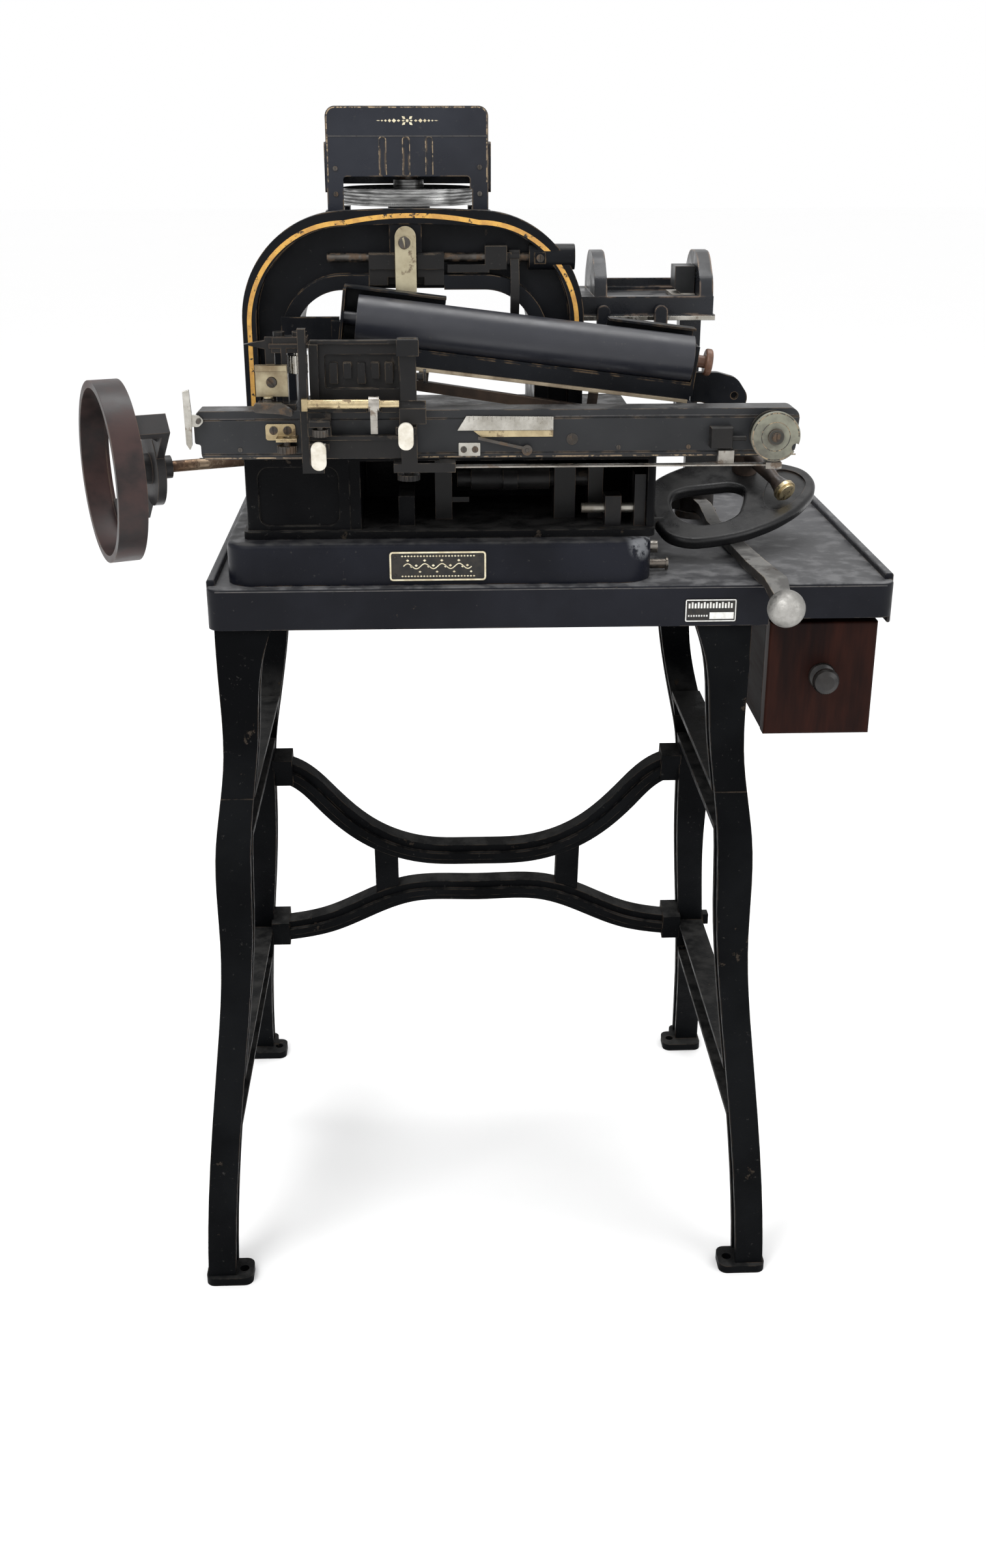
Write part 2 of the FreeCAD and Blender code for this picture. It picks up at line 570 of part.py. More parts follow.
def top_cover():
    """A folded sheet hood over the type wheel: open below, standing on two front legs and its sides."""
    sheet = 2.0
    z0 = 1086.0
    corners = [(HOOD_X[0], z0), (HOOD_X[0], HOOD_Z[1], 9.0), (HOOD_X[1], HOOD_Z[1], 9.0), (HOOD_X[1], z0)]
    shell = slab(corners, "y", HOOD_Y[0], HOOD_Y[1])
    inner = [(HOOD_X[0] + sheet, z0 - 1.0), (HOOD_X[0] + sheet, HOOD_Z[1] - sheet, 7.0),
             (HOOD_X[1] - sheet, HOOD_Z[1] - sheet, 7.0), (HOOD_X[1] - sheet, z0 - 1.0)]
    hollow = slab(inner, "y", HOOD_Y[0] + sheet, HOOD_Y[1] - sheet)
    notch = plate((-124.0, -8.0), (z0 - 10.0, 1097.0), 3.0, "y", HOOD_Y[0] - 1.0, HOOD_Y[0] + sheet + 1.0)
    pieces = [shell.cut(hollow)]
    for x in (HOOD_X[0], HOOD_X[1] - 15.0):
        pieces.append(box((x, x + 15.0), (HOOD_Y[0], HOOD_Y[0] + sheet), (HOOD_Z[0], z0 + 2.0)))
        foot_y = (HOOD_Y[0], HOOD_Y[0] + 16.0)
        pieces.append(box((x, x + 15.0), foot_y, (HOOD_Z[0], HOOD_Z[0] + 2.5)))
    ear = [(-20.0, 1082.0, 3.0), (2.0, 1082.0, 5.0), (14.0, 1100.0, 6.0), (8.0, 1126.0, 4.0),
           (-20.0, 1126.0, 4.0)]
    for x in (HOOD_X[0] - 3.5, HOOD_X[1]):
        pieces.append(slab(ear, "x", x, x + 3.5))
    for x in (HOOD_X[0], HOOD_X[1] - 4.0):
        pieces.append(box((x, x + 4.0), (30.0, 44.0), (HOOD_Z[0], z0 + 2.0)))
    shape = fuse(pieces)
    flutes = []
    for x in (-87.5, -66.0, -45.0):
        flute = plate((x - 2.6, x + 2.6), (1097.0, 1131.0), 2.4, "y", HOOD_Y[0] - 0.2, HOOD_Y[0] + 0.9)
        flutes.append(flute)
    return cut(shape, [notch] + flutes)


def type_wheel():
    """A stack of grooved discs with teeth for the type punches around the edge and a hub on top."""
    low, high = WHEEL_Z
    axis_low = (WHEEL_X, WHEEL_Y, low)
    axis_high = (WHEEL_X, WHEEL_Y, high)
    shape = rod(axis_low, axis_high, WHEEL_R)
    count = 4
    pitch = (high - low) / (count + 1)
    for i in range(count):
        z = low + pitch * (i + 1)
        shape = shape.cut(pipe((WHEEL_X, WHEEL_Y, z - 0.5), (WHEEL_X, WHEEL_Y, z + 0.5), WHEEL_R + 1.0,
                               WHEEL_R - 2.0))
    shape = shape.fuse(rod((WHEEL_X, WHEEL_Y, high), (WHEEL_X, WHEEL_Y, high + 7.0), 14.5))
    shape = shape.cut(rod((WHEEL_X, WHEEL_Y, low - 1.0), (WHEEL_X, WHEEL_Y, high + 8.0),
                          SPINDLE_R + RUNNING))
    notches = []
    teeth = 40
    for i in range(teeth):
        angle = 2.0 * math.pi * i / teeth
        notches.append(rod((WHEEL_X + 50.0 * math.cos(angle), WHEEL_Y + 50.0 * math.sin(angle), high - 2.0),
                           (WHEEL_X + 50.0 * math.cos(angle), WHEEL_Y + 50.0 * math.sin(angle),
                            high + 1.0), 1.6))
    return shape.cut(Part.makeCompound(notches))


def guide_block():
    """The block that guides the ram and carries the rock shaft, bolted to the arch's web."""
    web = ARCH_WEB_Y[0]
    block = box(GUIDE_X, (ARCH_FRONT, web), (1006.0, GUIDE_TOP))
    ledge = box(GUIDE_X, (ARCH_FRONT - 3.0, ARCH_FRONT + 1.0), (1020.0, 1033.0))
    ram_gap = box((RAM_X - 10.2, RAM_X + 10.2), (ARCH_FRONT - 4.0, web - 3.6), (1000.0, 1040.0))
    window = box((-84.0, -51.0), (ARCH_FRONT - 4.0, web - 8.0), (1000.0, 1013.0))
    bore = rod((-110.0, ROCK_Y, ROCK_Z), (-20.0, ROCK_Y, ROCK_Z), ROCK_R + RUNNING)
    return cut(fuse([block, ledge]), [ram_gap, window, bore])


RAM_GUIDE_FRONT = ARCH_FRONT - 4.5


def ram_link():
    """The brass strap that hangs in front of the ram, round at its top, held by a slotted screw."""
    half = 9.5
    points = [(RAM_X - half, 1001.0), (RAM_X - half, 1057.5, half - 0.01),
              (RAM_X + half, 1057.5, half - 0.01),
              (RAM_X + half, 1001.0)]
    strap = slab(points, "y", RAM_GUIDE_FRONT - 4.0, RAM_GUIDE_FRONT)
    head = screw_head((RAM_X + 0.5, RAM_GUIDE_FRONT - 4.0, 1043.5), (0.0, -1.0, 0.0), 5.2, 3.0)
    return [strap, head]


def ram_punch():
    """The punch bar behind the strap; it ends in the die that marks the plate."""
    bar = box((RAM_X - 6.0, RAM_X + 6.0), (RAM_GUIDE_FRONT, RAM_GUIDE_FRONT + 3.5), (985.0, 1052.0))
    tip = box((RAM_X - 4.0, RAM_X + 4.0), (RAM_GUIDE_FRONT + 0.6, RAM_GUIDE_FRONT + 2.9), (980.0, 986.0))
    return fuse([bar, tip])


def rock_shaft():
    return rod((-139.0, ROCK_Y, ROCK_Z), (84.0, ROCK_Y, ROCK_Z), ROCK_R)


def crank_arm():
    """Collar, side bar and the curved strap that hangs from the rock shaft."""
    hole = rod((0.0, ROCK_Y, ROCK_Z), (60.0, ROCK_Y, ROCK_Z), ROCK_R)
    collar = box((4.0, 24.0), (-101.0, -86.0), (1019.5, 1040.0))
    bar = box((-30.0, 8.0), (-101.0, -97.0), (1017.0, 1024.0))
    eye = rod((26.0, ROCK_Y, ROCK_Z), (36.0, ROCK_Y, ROCK_Z), 6.4)
    bridge = box((22.0, 28.0), (-97.0, -87.0), (1024.0, 1034.0))
    strap = band([(-96.0, 1026.0), (-106.0, 1010.0), (-107.5, 996.0), (-104.0, 982.0)], 7.0, "x", 27.0,
                 35.0)
    return cut(fuse([collar, bar, bridge, eye, strap]), [hole])


def main_shaft():
    """The cam shaft inside the body: a thick middle, a collar and a cam lobe."""
    shaft = rod((-23.0, CAM_Y, CAM_Z), (113.0, CAM_Y, CAM_Z), CAM_R - 3.0)
    sleeve = rod((-10.0, CAM_Y, CAM_Z), (64.0, CAM_Y, CAM_Z), CAM_R)
    cam = slab([(CAM_Y - 14.0, CAM_Z - 12.0, 10.0), (CAM_Y + 20.0, CAM_Z - 8.0, 6.0),
                (CAM_Y + 20.0, CAM_Z + 6.0, 6.0), (CAM_Y - 14.0, CAM_Z + 12.0, 10.0)], "x", 20.0, 34.0)
    return fuse([shaft, sleeve, cam])


def shaft_bearings():
    """Bearing posts inside the body, with the bright cross pin at the right."""
    floor = BASE_TOP + 7.0
    hole = rod((-60.0, CAM_Y, CAM_Z), (130.0, CAM_Y, CAM_Z), CAM_R - 3.0 + RUNNING)
    left = box((-44.0, -28.0), (CAM_Y - 14.0, CAM_Y + 14.0), (floor, 854.0))
    left_arm = box((-28.0, -12.0), (CAM_Y - 13.0, CAM_Y + 13.0), (812.0, 817.0))
    middle = box((68.0, 88.0), (CAM_Y - 14.0, CAM_Y + 14.0), (floor, 846.0))
    right = box((100.0, 114.0), (CAM_Y - 14.0, CAM_Y + 14.0), (floor, 846.0))
    pin_z = 810.5
    pin_y = -146.0
    pin_block = box((113.0, 128.0), (pin_y - 12.0, pin_y + 10.0), (floor, 824.0))
    end_block = box((140.0, 150.5), (pin_y - 12.0, pin_y + 10.0), (floor, 844.0))
    pin = rod((92.0, pin_y, pin_z), (140.0, pin_y, pin_z), 4.6)
    blocks = [cut(fuse([left, left_arm]), [hole]), cut(middle, [hole]), cut(right, [hole])]
    return blocks + [cut(pin_block, [pin]), end_block, pin]


# ---- Handwheel ----
def handwheel():
    """A wide plain hoop on two Z-bent straps that reach it from a round plate on its machine side."""
    axis = hand_point(1.0) - hand_point(0.0)
    near = HAND_RIM_NEAR
    back = near - HAND_REACH
    hoop = pipe(hand_point(near), hand_point(near + HAND_RIM_WIDTH), HAND_RIM_R, HAND_RIM_R - 6.5)
    bead = pipe(hand_point(near), hand_point(near + 3.0), HAND_RIM_R, HAND_RIM_R - 8.5)
    hub = rod(hand_point(back), hand_point(back + 8.0), 34.0)
    collar = rod(hand_point(back - 12.0), hand_point(back + 1.0), 10.5)
    nose = rod(hand_point(back + 7.0), hand_point(back + 16.0), 14.0)
    pieces = [hoop, bead, hub, collar, nose]
    for turn in (HAND_ARM_TURN, HAND_ARM_TURN + 180.0):
        strap = box((-10.0, 10.0), (20.0, HAND_RIM_R - 7.5), (back + 0.5, back + 7.5))
        heel = box((-10.0, 10.0), (HAND_RIM_R - 15.0, HAND_RIM_R - 7.5), (back + 0.5, near + 3.0))
        brace = slab([(HAND_RIM_R - 34.0, back + 7.0), (HAND_RIM_R - 10.0, back + 7.0),
                      (HAND_RIM_R - 10.0, near - 1.0)],
                     "x", -2.5, 2.5)
        arm = fuse([strap, heel, brace])
        arm.rotate(V(0, 0, 0), V(0, 0, 1), turn)
        lay = FreeCAD.Rotation(V(0, 0, 1).cross(axis), V(0, 0, 1), axis, "ZYX")
        arm.Placement = FreeCAD.Placement(hand_point(0.0), lay).multiply(arm.Placement)
        pieces.append(arm)
    return fuse(pieces).cut(rod(hand_point(back - 14.0), hand_point(back + 20.0), HAND_SHAFT_R))


def handwheel_shaft():
    shaft = rod(hand_point(-60.0), hand_point(HAND_RIM_NEAR - 16.0), HAND_SHAFT_R)
    inner_collar = pipe(hand_point(-46.0), hand_point(-36.0), 6.5, HAND_SHAFT_R - 1.0)
    return fuse([shaft, inner_collar])


# ---- Press lever ----
def lever_arm():
    """A flat bar on edge from the rear pivot to the ball, with a short crank that enters the base."""
    hub_low = TABLE_TOP + 8.0
    hub_high = TABLE_TOP + 26.0
    hub = pipe((LEVER_X, LEVER_Y, hub_low), (LEVER_X, LEVER_Y, hub_high), 19.0, LEVER_PIN_R + RUNNING)
    side_view = [(LEVER_Y - 16.0, 759.5), (LEVER_Y - 16.0, 771.0), (40.0, 771.0, 20.0), (4.0, 761.5, 30.0),
                 (-218.0, 761.5, 20.0), (-243.0, 752.0), (-248.0, 742.0), (-240.0, 742.0),
                 (-220.0, 752.8, 12.0), (6.0, 752.8, 30.0), (36.0, 759.5, 20.0)]
    top_view = [(-7.0, 66.0), (-7.0, -40.0), (-11.0, -160.0, 60.0), (-10.0, -222.0, 30.0),
                (-6.5, -250.0), (6.5, -250.0), (11.0, -222.0, 30.0), (8.0, -160.0, 60.0),
                (7.0, -40.0), (7.0, 66.0)]
    bar = slab(side_view, "x", -14.0, 14.0).common(slab(top_view, "z", 735.0, 780.0))
    swing = math.degrees(math.atan2(BALL.x - LEVER_X, LEVER_Y - BALL.y))
    bar.rotate(V(0, LEVER_Y, 0), V(0, 0, 1), swing)
    bar.translate(V(LEVER_X, 0, 0))
    crank = box((LEVER_X - 96.0, LEVER_X - 15.0), (LEVER_Y - 7.0, LEVER_Y + 7.0), (hub_low, hub_low + 12.0))
    toe = rod((LEVER_X - 96.0, LEVER_Y, hub_low), (LEVER_X - 96.0, LEVER_Y, hub_low + 16.0), 8.0)
    shape = fuse([hub, bar, crank, toe])
    shape = shape.cut(rod((LEVER_X, LEVER_Y, 740.0), (LEVER_X, LEVER_Y, 800.0), LEVER_PIN_R + RUNNING))
    return shape.cut(Part.makeSphere(BALL_R, BALL))


def lever_ball():
    return Part.makeSphere(BALL_R, BALL)


def pivot_pins():
    """The fixed pins that moving pieces turn on: type wheel, lever, drum, end latch and scale pawl."""
    spindle = rod((WHEEL_X, WHEEL_Y, 1042.0), (WHEEL_X, WHEEL_Y, 1096.0), SPINDLE_R)
    spindle = spindle.fuse(rod((WHEEL_X, WHEEL_Y, 1069.0), (WHEEL_X, WHEEL_Y, 1070.5), 12.0))
    spindle = spindle.fuse(rod((WHEEL_X, WHEEL_Y, 1093.0), (WHEEL_X, WHEEL_Y, 1097.0), 9.0))
    lever_pin = rod((LEVER_X, LEVER_Y, TABLE_TOP), (LEVER_X, LEVER_Y, TABLE_TOP + 29.0), LEVER_PIN_R)
    lever_pin = lever_pin.fuse(rod((LEVER_X, LEVER_Y, TABLE_TOP), (LEVER_X, LEVER_Y, TABLE_TOP + 7.0),
                                   22.0))
    lever_pin = lever_pin.fuse(rod((LEVER_X, LEVER_Y, TABLE_TOP + 26.6),
                                   (LEVER_X, LEVER_Y, TABLE_TOP + 31.0), 14.0))
    drum = rod((DRUM_X, RAIL_FRONT, DRUM_Z), (DRUM_X, RAIL_FRONT - 24.0, DRUM_Z), 4.0)
    latch = rod((-248.0, RAIL_FRONT, 904.5), (-248.0, RAIL_FRONT - 9.0, 904.5), 2.0)
    pawl = rod((37.0, RAIL_FRONT, 877.5), (37.0, RAIL_FRONT - 7.0, 877.5), 1.6)
    return [spindle, lever_pin, drum, latch, pawl]


# ---- Dial and selector ----
def on_dial(shape):
    """Lay a shape drawn in the dial's own plane onto the tilted dial."""
    shape.rotate(V(0, 0, 0), V(1, 0, 0), DIAL_TILT)
    shape.translate(DIAL_ORIGIN)
    return shape


def loop(points, low, high):
    """A closed outline near (u, v) points, its corners rounded as far as they can be, pushed along z."""
    rounded = []
    for i, point in enumerate(points):
        here = V(*point, 0.0)
        back = V(*points[i - 1], 0.0) - here
        ahead = V(*points[(i + 1) % len(points)], 0.0) - here
        reach = 0.46 * min(back.Length, ahead.Length)
        rounded.append((point[0], point[1], reach * math.tan(back.getAngle(ahead) / 2.0)))
    return slab(rounded, "z", low, high)


# Outlines in the dial's own plane: outer edge, open window and shallow dish as (u, v).
DIAL_EDGE = [(168.0, 104.0), (166.5, 76.0), (168.5, 44.0), (178.0, 18.0), (200.0, 8.0), (228.0, 12.5),
             (256.0, 21.5),
             (288.0, 40.0), (317.0, 66.0), (335.0, 94.0), (340.0, 116.0), (333.0, 137.0), (314.0, 148.0),
             (286.0, 155.0), (252.0, 157.0), (220.0, 150.0), (196.0, 136.0), (178.0, 121.0)]
DIAL_WINDOW = [(188.6, 78.0), (193.0, 94.0), (208.0, 101.0), (232.0, 105.0), (254.0, 109.0), (265.0, 102.0),
               (261.0, 80.0), (252.0, 56.0), (236.0, 43.0), (214.0, 36.5), (198.0, 43.0), (190.5, 58.0)]
DIAL_DISH = [(283.0, 56.0), (306.0, 70.0), (322.0, 91.0), (330.0, 113.0), (323.0, 130.0), (304.0, 138.0),
             (290.0, 112.0), (280.0, 84.0)]


def dial_plate():
    """A tilted teardrop casting: a thick loop at the left, a shallow dish at the right, a neck behind."""
    body = loop(DIAL_EDGE, -DIAL_THICKNESS, 0.0)
    body = body.cut(loop(DIAL_WINDOW, -DIAL_THICKNESS - 1.0, 1.0))
    body = round_edges(body, 4.5, lambda edge: lies_at_z(edge, 0.0))
    body = round_edges(body, 4.0, lambda edge: lies_at_z(edge, -DIAL_THICKNESS))
    body = body.cut(loop(DIAL_DISH, -2.2, 1.0))
    body = on_dial(body)
    neck = slab([(212.0, 812.0), (284.0, 812.0), (264.0, 850.0, 14.0), (264.0, 862.0),
                 (212.0, 862.0, 8.0)], "y",
                8.0, 22.0)
    arm = box((BODY_X[1], 264.0), (8.0, 30.0), (838.0, 862.0))
    flange = plate((-18.0, 48.0), (832.0, 866.0), 6.0, "x", BODY_X[1], BODY_X[1] + 7.0)
    lug = box((BODY_X[1], 178.0), (-92.0, -52.0), (777.0, 787.0))
    return fuse([body, neck, arm, flange, lug])


def selector_arm():
    """A hub that turns on the dial and a tapered handle reaching down over the dish to a flared bell."""
    u, v = SELECTOR_PIVOT
    hub = rod((u, v, 0.4), (u, v, SELECTOR_HEIGHT + 10.0), 12.5)
    root = V(u, v, SELECTOR_HEIGHT)
    way = (SELECTOR_TIP - root).normalize()
    handle = cone(root, SELECTOR_TIP, 10.5, 6.0)
    flare = cone(SELECTOR_TIP, SELECTOR_TIP + way * 9.0, 6.0, 8.0)
    bell = cone(SELECTOR_TIP + way * 9.0, SELECTOR_TIP + way * 15.0, 8.0, 10.5)
    return on_dial(fuse([hub, handle, flare, bell]))


def selector_ferrule():
    """The brass ring on the handle's bell end, with a short pointer foot."""
    u, v = SELECTOR_PIVOT
    way = (SELECTOR_TIP - V(u, v, SELECTOR_HEIGHT)).normalize()
    ring = rod(SELECTOR_TIP + way * 15.0, SELECTOR_TIP + way * 19.0, 11.0)
    pad = rod(SELECTOR_TIP + way * 19.0, SELECTOR_TIP + way * 21.5, 9.0)
    return on_dial(fuse([ring, pad]))


# ---- Rail and its fittings ----
def rail():
    """A channel bar across the front, open to the rear, with a ledge along its top and bottom edges."""
    x, z = RAIL_X, RAIL_Z
    face = [(x[0], z[0] + 14.0, 2.0), (x[0] + 5.0, z[0] + 13.0, 2.0), (x[0] + 5.0, z[0], 5.0),
            (x[1] - 3.0, z[0], 9.0),
            (x[1], z[1], 9.0), (x[0] + 5.0, z[1]), (x[0], z[1] - 5.0)]
    bar = slab(face, "y", RAIL_FRONT, RAIL_BACK)
    hollow = box((x[0] - 1.0, x[1] + 1.0), (RAIL_FRONT + RAIL_WALL, RAIL_BACK + 1.0),
                 (z[0] + RAIL_WALL, z[1] - RAIL_WALL))
    grooves = [box((x[0] - 1.0, x[1] + 1.0), (RAIL_FRONT - 1.0, RAIL_FRONT + 0.8), (level, level + 1.0))
               for level in (z[0] + 4.0, z[1] - 8.0)]
    return cut(bar, [hollow] + grooves)


def rail_brackets():
    """Three arms that hold the rail in front of the body."""
    arms = []
    for x in (-205.0, 40.0, 134.0):
        arm = box((x, x + 22.0), (RAIL_FRONT + RAIL_WALL, BODY_Y[0] + 12.0), (876.0, 888.0))
        drop = box((x, x + 22.0), (BODY_Y[0] + 2.0, BODY_Y[0] + 12.0), (BODY_TOP, 888.0))
        foot = box((x, x + 22.0), (BODY_Y[0] + 2.0, BODY_Y[0] + 40.0), (BODY_TOP, BODY_TOP + 8.0))
        arms.append(fuse([arm, drop, foot]))
    return arms


def scale_plates():
    """The graduated bar on the rail and a small two-screw plate below it."""
    y = RAIL_FRONT
    bar = slab([(-24.0, 894.5), (60.0, 894.5), (60.0, 906.0), (-16.0, 907.0)], "y", y - 3.0, y)
    ticks = []
    for i in range(19):
        x = -14.0 + i * 4.0
        height = 5.0 if i % 5 == 0 else 3.0
        ticks.append(box((x, x + 0.5), (y - 3.5, y - 2.7), (906.5 - height, 907.0)))
    label = plate((-23.0, -4.0), (872.0, 883.5), 0.8, "y", y - 1.6, y)
    return [cut(bar, ticks), label]


def brass_plates():
    """The brass strip under the scale and the brass plate near the rail's left end."""
    y = RAIL_FRONT
    under = slab([(-3.0, 888.5), (60.0, 888.5), (60.0, 894.0), (-10.0, 894.0)], "y", y - 1.5, y)
    end = plate((-191.0, -165.0), (887.0, 901.0), 2.5, "y", y - 2.0, y)
    ledge = box((RAIL_KNOB.x - 9.0, RAIL_KNOB.x + 9.0), (RAIL_KNOB.y - 7.0, y), (888.0, 891.0))
    end = fuse([end, ledge]).cut(rod(RAIL_KNOB, RAIL_KNOB + V(0.0, 0.0, 20.0), 3.6 + RUNNING))
    return [under, end]


def slotted_screws():
    """Cheese-head screws on the rail, its plates and the hood."""
    y = RAIL_FRONT
    front = (0.0, -1.0, 0.0)
    screws = [screw_head((x, y - 2.0, 895.5), front, 3.6, 1.4) for x in (-184.0, -172.0)]
    screws += [screw_head((x, y - 1.6, 877.7), front, 2.8, 1.0) for x in (-18.5, -8.5)]
    screws.append(screw_head((77.0, y, 886.0), front, 5.0, 0.7))
    screws += [screw_head((x, y, 878.5), front, 2.0, 0.8) for x in (-214.0, 118.0, 180.0)]
    screws += [screw_head((x, HOOD_Y[0], z), front, 2.2, 1.2) for x, z in
               ((-131.0, 1104.0), (1.0, 1105.0), (-131.0, 1082.0), (1.0, 1082.0))]
    screws.append(screw_head((SET_SCREW_X, ROCK_Y - 12.0, ROCK_Z), front, 3.4, 2.2))
    return screws


def tension_tape():
    """The steel tape that pulls the carriage, under the rail, with its brass end tab below the drum."""
    tape = box((-33.0, 250.0), (-222.0, -212.0), TAPE_Z)
    tab = box((247.0, 261.0), (-223.0, -211.0), (TAPE_Z[0] - 2.5, TAPE_Z[1] + 1.8))
    anchor = box((206.0, 220.0), (-214.5, RAIL_FRONT), (TAPE_Z[1], RAIL_Z[0] + 6.0))
    return [cut(tape, [tab]), tab, anchor]


def spring_drum():
    """The spring drum: a notched front flange, a core and a thin rear flange on the rail's stud."""
    front = pipe((DRUM_X, -229.0, DRUM_Z), (DRUM_X, -225.5, DRUM_Z), DRUM_R, 4.0 + RUNNING)
    core = pipe((DRUM_X, -226.0, DRUM_Z), (DRUM_X, -210.0, DRUM_Z), 16.0, 4.0 + RUNNING)
    rear = pipe((DRUM_X, -211.5, DRUM_Z), (DRUM_X, -209.5, DRUM_Z), DRUM_R - 1.5, 4.0 + RUNNING)
    hub = pipe((DRUM_X, -231.5, DRUM_Z), (DRUM_X, -228.0, DRUM_Z), 6.8, 4.0 + RUNNING)
    shape = fuse([front, core, rear, hub])
    angle = math.radians(-28.0)
    notch = rod((DRUM_X + 20.5 * math.cos(angle), -232.0, DRUM_Z + 20.5 * math.sin(angle)),
                (DRUM_X + 20.5 * math.cos(angle), -225.0, DRUM_Z + 20.5 * math.sin(angle)), 3.6)
    return shape.cut(notch)


def latch_block():
    """A small stop block on the rail with a clamp pin out of its side."""
    y = RAIL_FRONT
    block = box((198.0, 217.0), (y - 13.0, y), (879.0, 897.0))
    block = round_edges(block, 1.0, lambda edge: edge.BoundBox.YMax < y - 12.9)
    pin = rod((217.0, y - 8.0, 887.0), (229.0, y - 8.0, 887.0), 2.2)
    return fuse([block, pin])


def scale_pawl():
    """A thin rod with an eye, pivoted on the rail below the scale."""
    y = RAIL_FRONT - 3.5
    eye = pipe((37.0, y, 877.5), (37.0, y - 3.0, 877.5), 4.6, 1.6 + RUNNING)
    arm = slab([(34.5, 880.5), (33.5, 878.0), (-6.0, 887.0), (-6.0, 889.5)], "y", y - 2.6, y - 0.2)
    return fuse([eye, arm])


def end_latch():
    """The pointed needle lever at the rail's left end, on its white clip."""
    y = RAIL_FRONT - 0.6
    clip = slab([(-260.0, 899.5, 2.5), (-248.0, 899.5, 4.6), (-243.0, 904.5, 3.0), (-248.0, 909.5, 4.6),
                 (-260.0, 909.5, 2.5)], "y", y - 4.0, y)
    needle = slab([(-260.0, 930.0), (-254.5, 931.5), (-253.5, 912.0), (-254.5, 884.0), (-256.5, 880.0),
                   (-259.5, 885.0)], "y", y - 7.0, y - 3.5)
    hole = rod((-248.0, y - 10.0, 904.5), (-248.0, y + 1.0, 904.5), 2.0 + RUNNING)
    return cut(fuse([clip, needle]), [hole])


# ---- Carriage ----
def carriage_frame():
    """The plate carriage: two posts, a shoe that hooks over the rail, cross plates and the tape clip."""
    front, back = CARRIAGE_FRONT, CARRIAGE_BACK
    left = box((-159.0, -152.0), (front, back), (862.0, 983.0))
    right = box((-73.0, -59.0), (front, back), (861.0, 975.0))
    head = box((-75.5, -56.5), (front - 3.0, back + 4.0), (960.5, 974.5))
    head = round_edges(head, 1.5, lambda edge: lies_at_z(edge, 974.5))
    shoe = box((-159.0, -59.0), (front, -176.0), (913.0, 918.0))
    shoe = shoe.cut(box((-102.0, -89.0), (front - 1.0, -222.5), (912.0, 919.0)))
    lip = box((-159.0, -59.0), (-180.0, -176.0), (904.0, 918.0))
    plate_low = box((-153.0, -72.0), (back - 4.0, back), (873.0, 889.0))
    ledge = box((-153.0, -72.0), (back - 6.0, back), (889.0, 893.0))
    toe_left = box((-159.0, -140.0), (front, -206.0), (861.0, 868.6))
    toe_right = box((-80.0, -59.0), (front, -206.0), (861.0, 868.6))
    upright_left = box((-151.0, -143.0), (-210.0, -204.0), (916.0, 968.0))
    upright_right = box((-66.0, -59.0), (-210.0, -204.0), (916.0, 968.0))
    arm = box((-60.0, -26.0), (front, -223.5), (861.0, 869.0))
    clip = box((-40.0, -26.0), (front, -207.0), (861.0, 869.0))
    clip = clip.cut(box((-41.0, -25.0), (-223.0, -211.0), (TAPE_Z[0] - 0.8, TAPE_Z[1] + 0.8)))
    knuckle = box((-74.0, -51.0), (front - 6.0, front + 1.0), (904.0, 923.0))
    stub = rod((-59.0, front + 4.0, 943.0), (-52.0, front + 4.0, 943.0), 3.0)
    stub_disc = rod((-53.0, front + 4.0, 943.0), (-50.5, front + 4.0, 943.0), 6.0)
    stop_lug = box((-151.0, -133.0), (STOP_KNOB.y - 6.0, front + 1.0), (903.0, 908.0))
    stop_web = box((-153.0, -133.0), (front - 0.5, back), (893.0, 913.5))
    pieces = [left, right, head, shoe, lip, plate_low, ledge, toe_left, toe_right, upright_left,
              upright_right,
              arm, clip, knuckle, stub, stub_disc, stop_lug, stop_web]
    for x, z in ((LEFT_KEY_X, LEFT_KEY_Z), (RIGHT_KEY_X, RIGHT_KEY_Z)):
        pieces += key_pivot(x, z)
    shape = fuse(pieces)
    tape_path = box((-80.5, -58.0), (-223.0, -211.0), (TAPE_Z[0] - 0.8, TAPE_Z[1] + 0.8))
    rod_hole = rod((-160.0, ROD_Y, ROD_Z), (-50.0, ROD_Y, ROD_Z), 4.15)
    stop_hole = rod(STOP_KNOB, STOP_KNOB + V(0.0, 0.0, 30.0), STOP_STEM_R + RUNNING)
    clamp_hole = rod(CLAMP_KNOB, CLAMP_KNOB + V(0.0, 0.0, 9.8), CLAMP_STEM_R + RUNNING)
    return cut(shape, [tape_path, rod_hole, stop_hole, clamp_hole])


def key_pivot(x, z):
    """Two ears on the carriage with the thin pin that a key hangs on."""
    ears = [box((x[0] - 2.2, x[0] + 0.6), (KEY_Y - 2.8, CARRIAGE_FRONT + 1.0), (z - 3.0, z + 3.0)),
            box((x[1] - 0.6, x[1] + 2.2), (KEY_Y - 2.8, CARRIAGE_FRONT + 1.0), (z - 3.0, z + 3.0))]
    return ears + [rod((x[0] - 2.0, KEY_Y, z), (x[1] + 2.0, KEY_Y, z), KEY_PIN_R)]


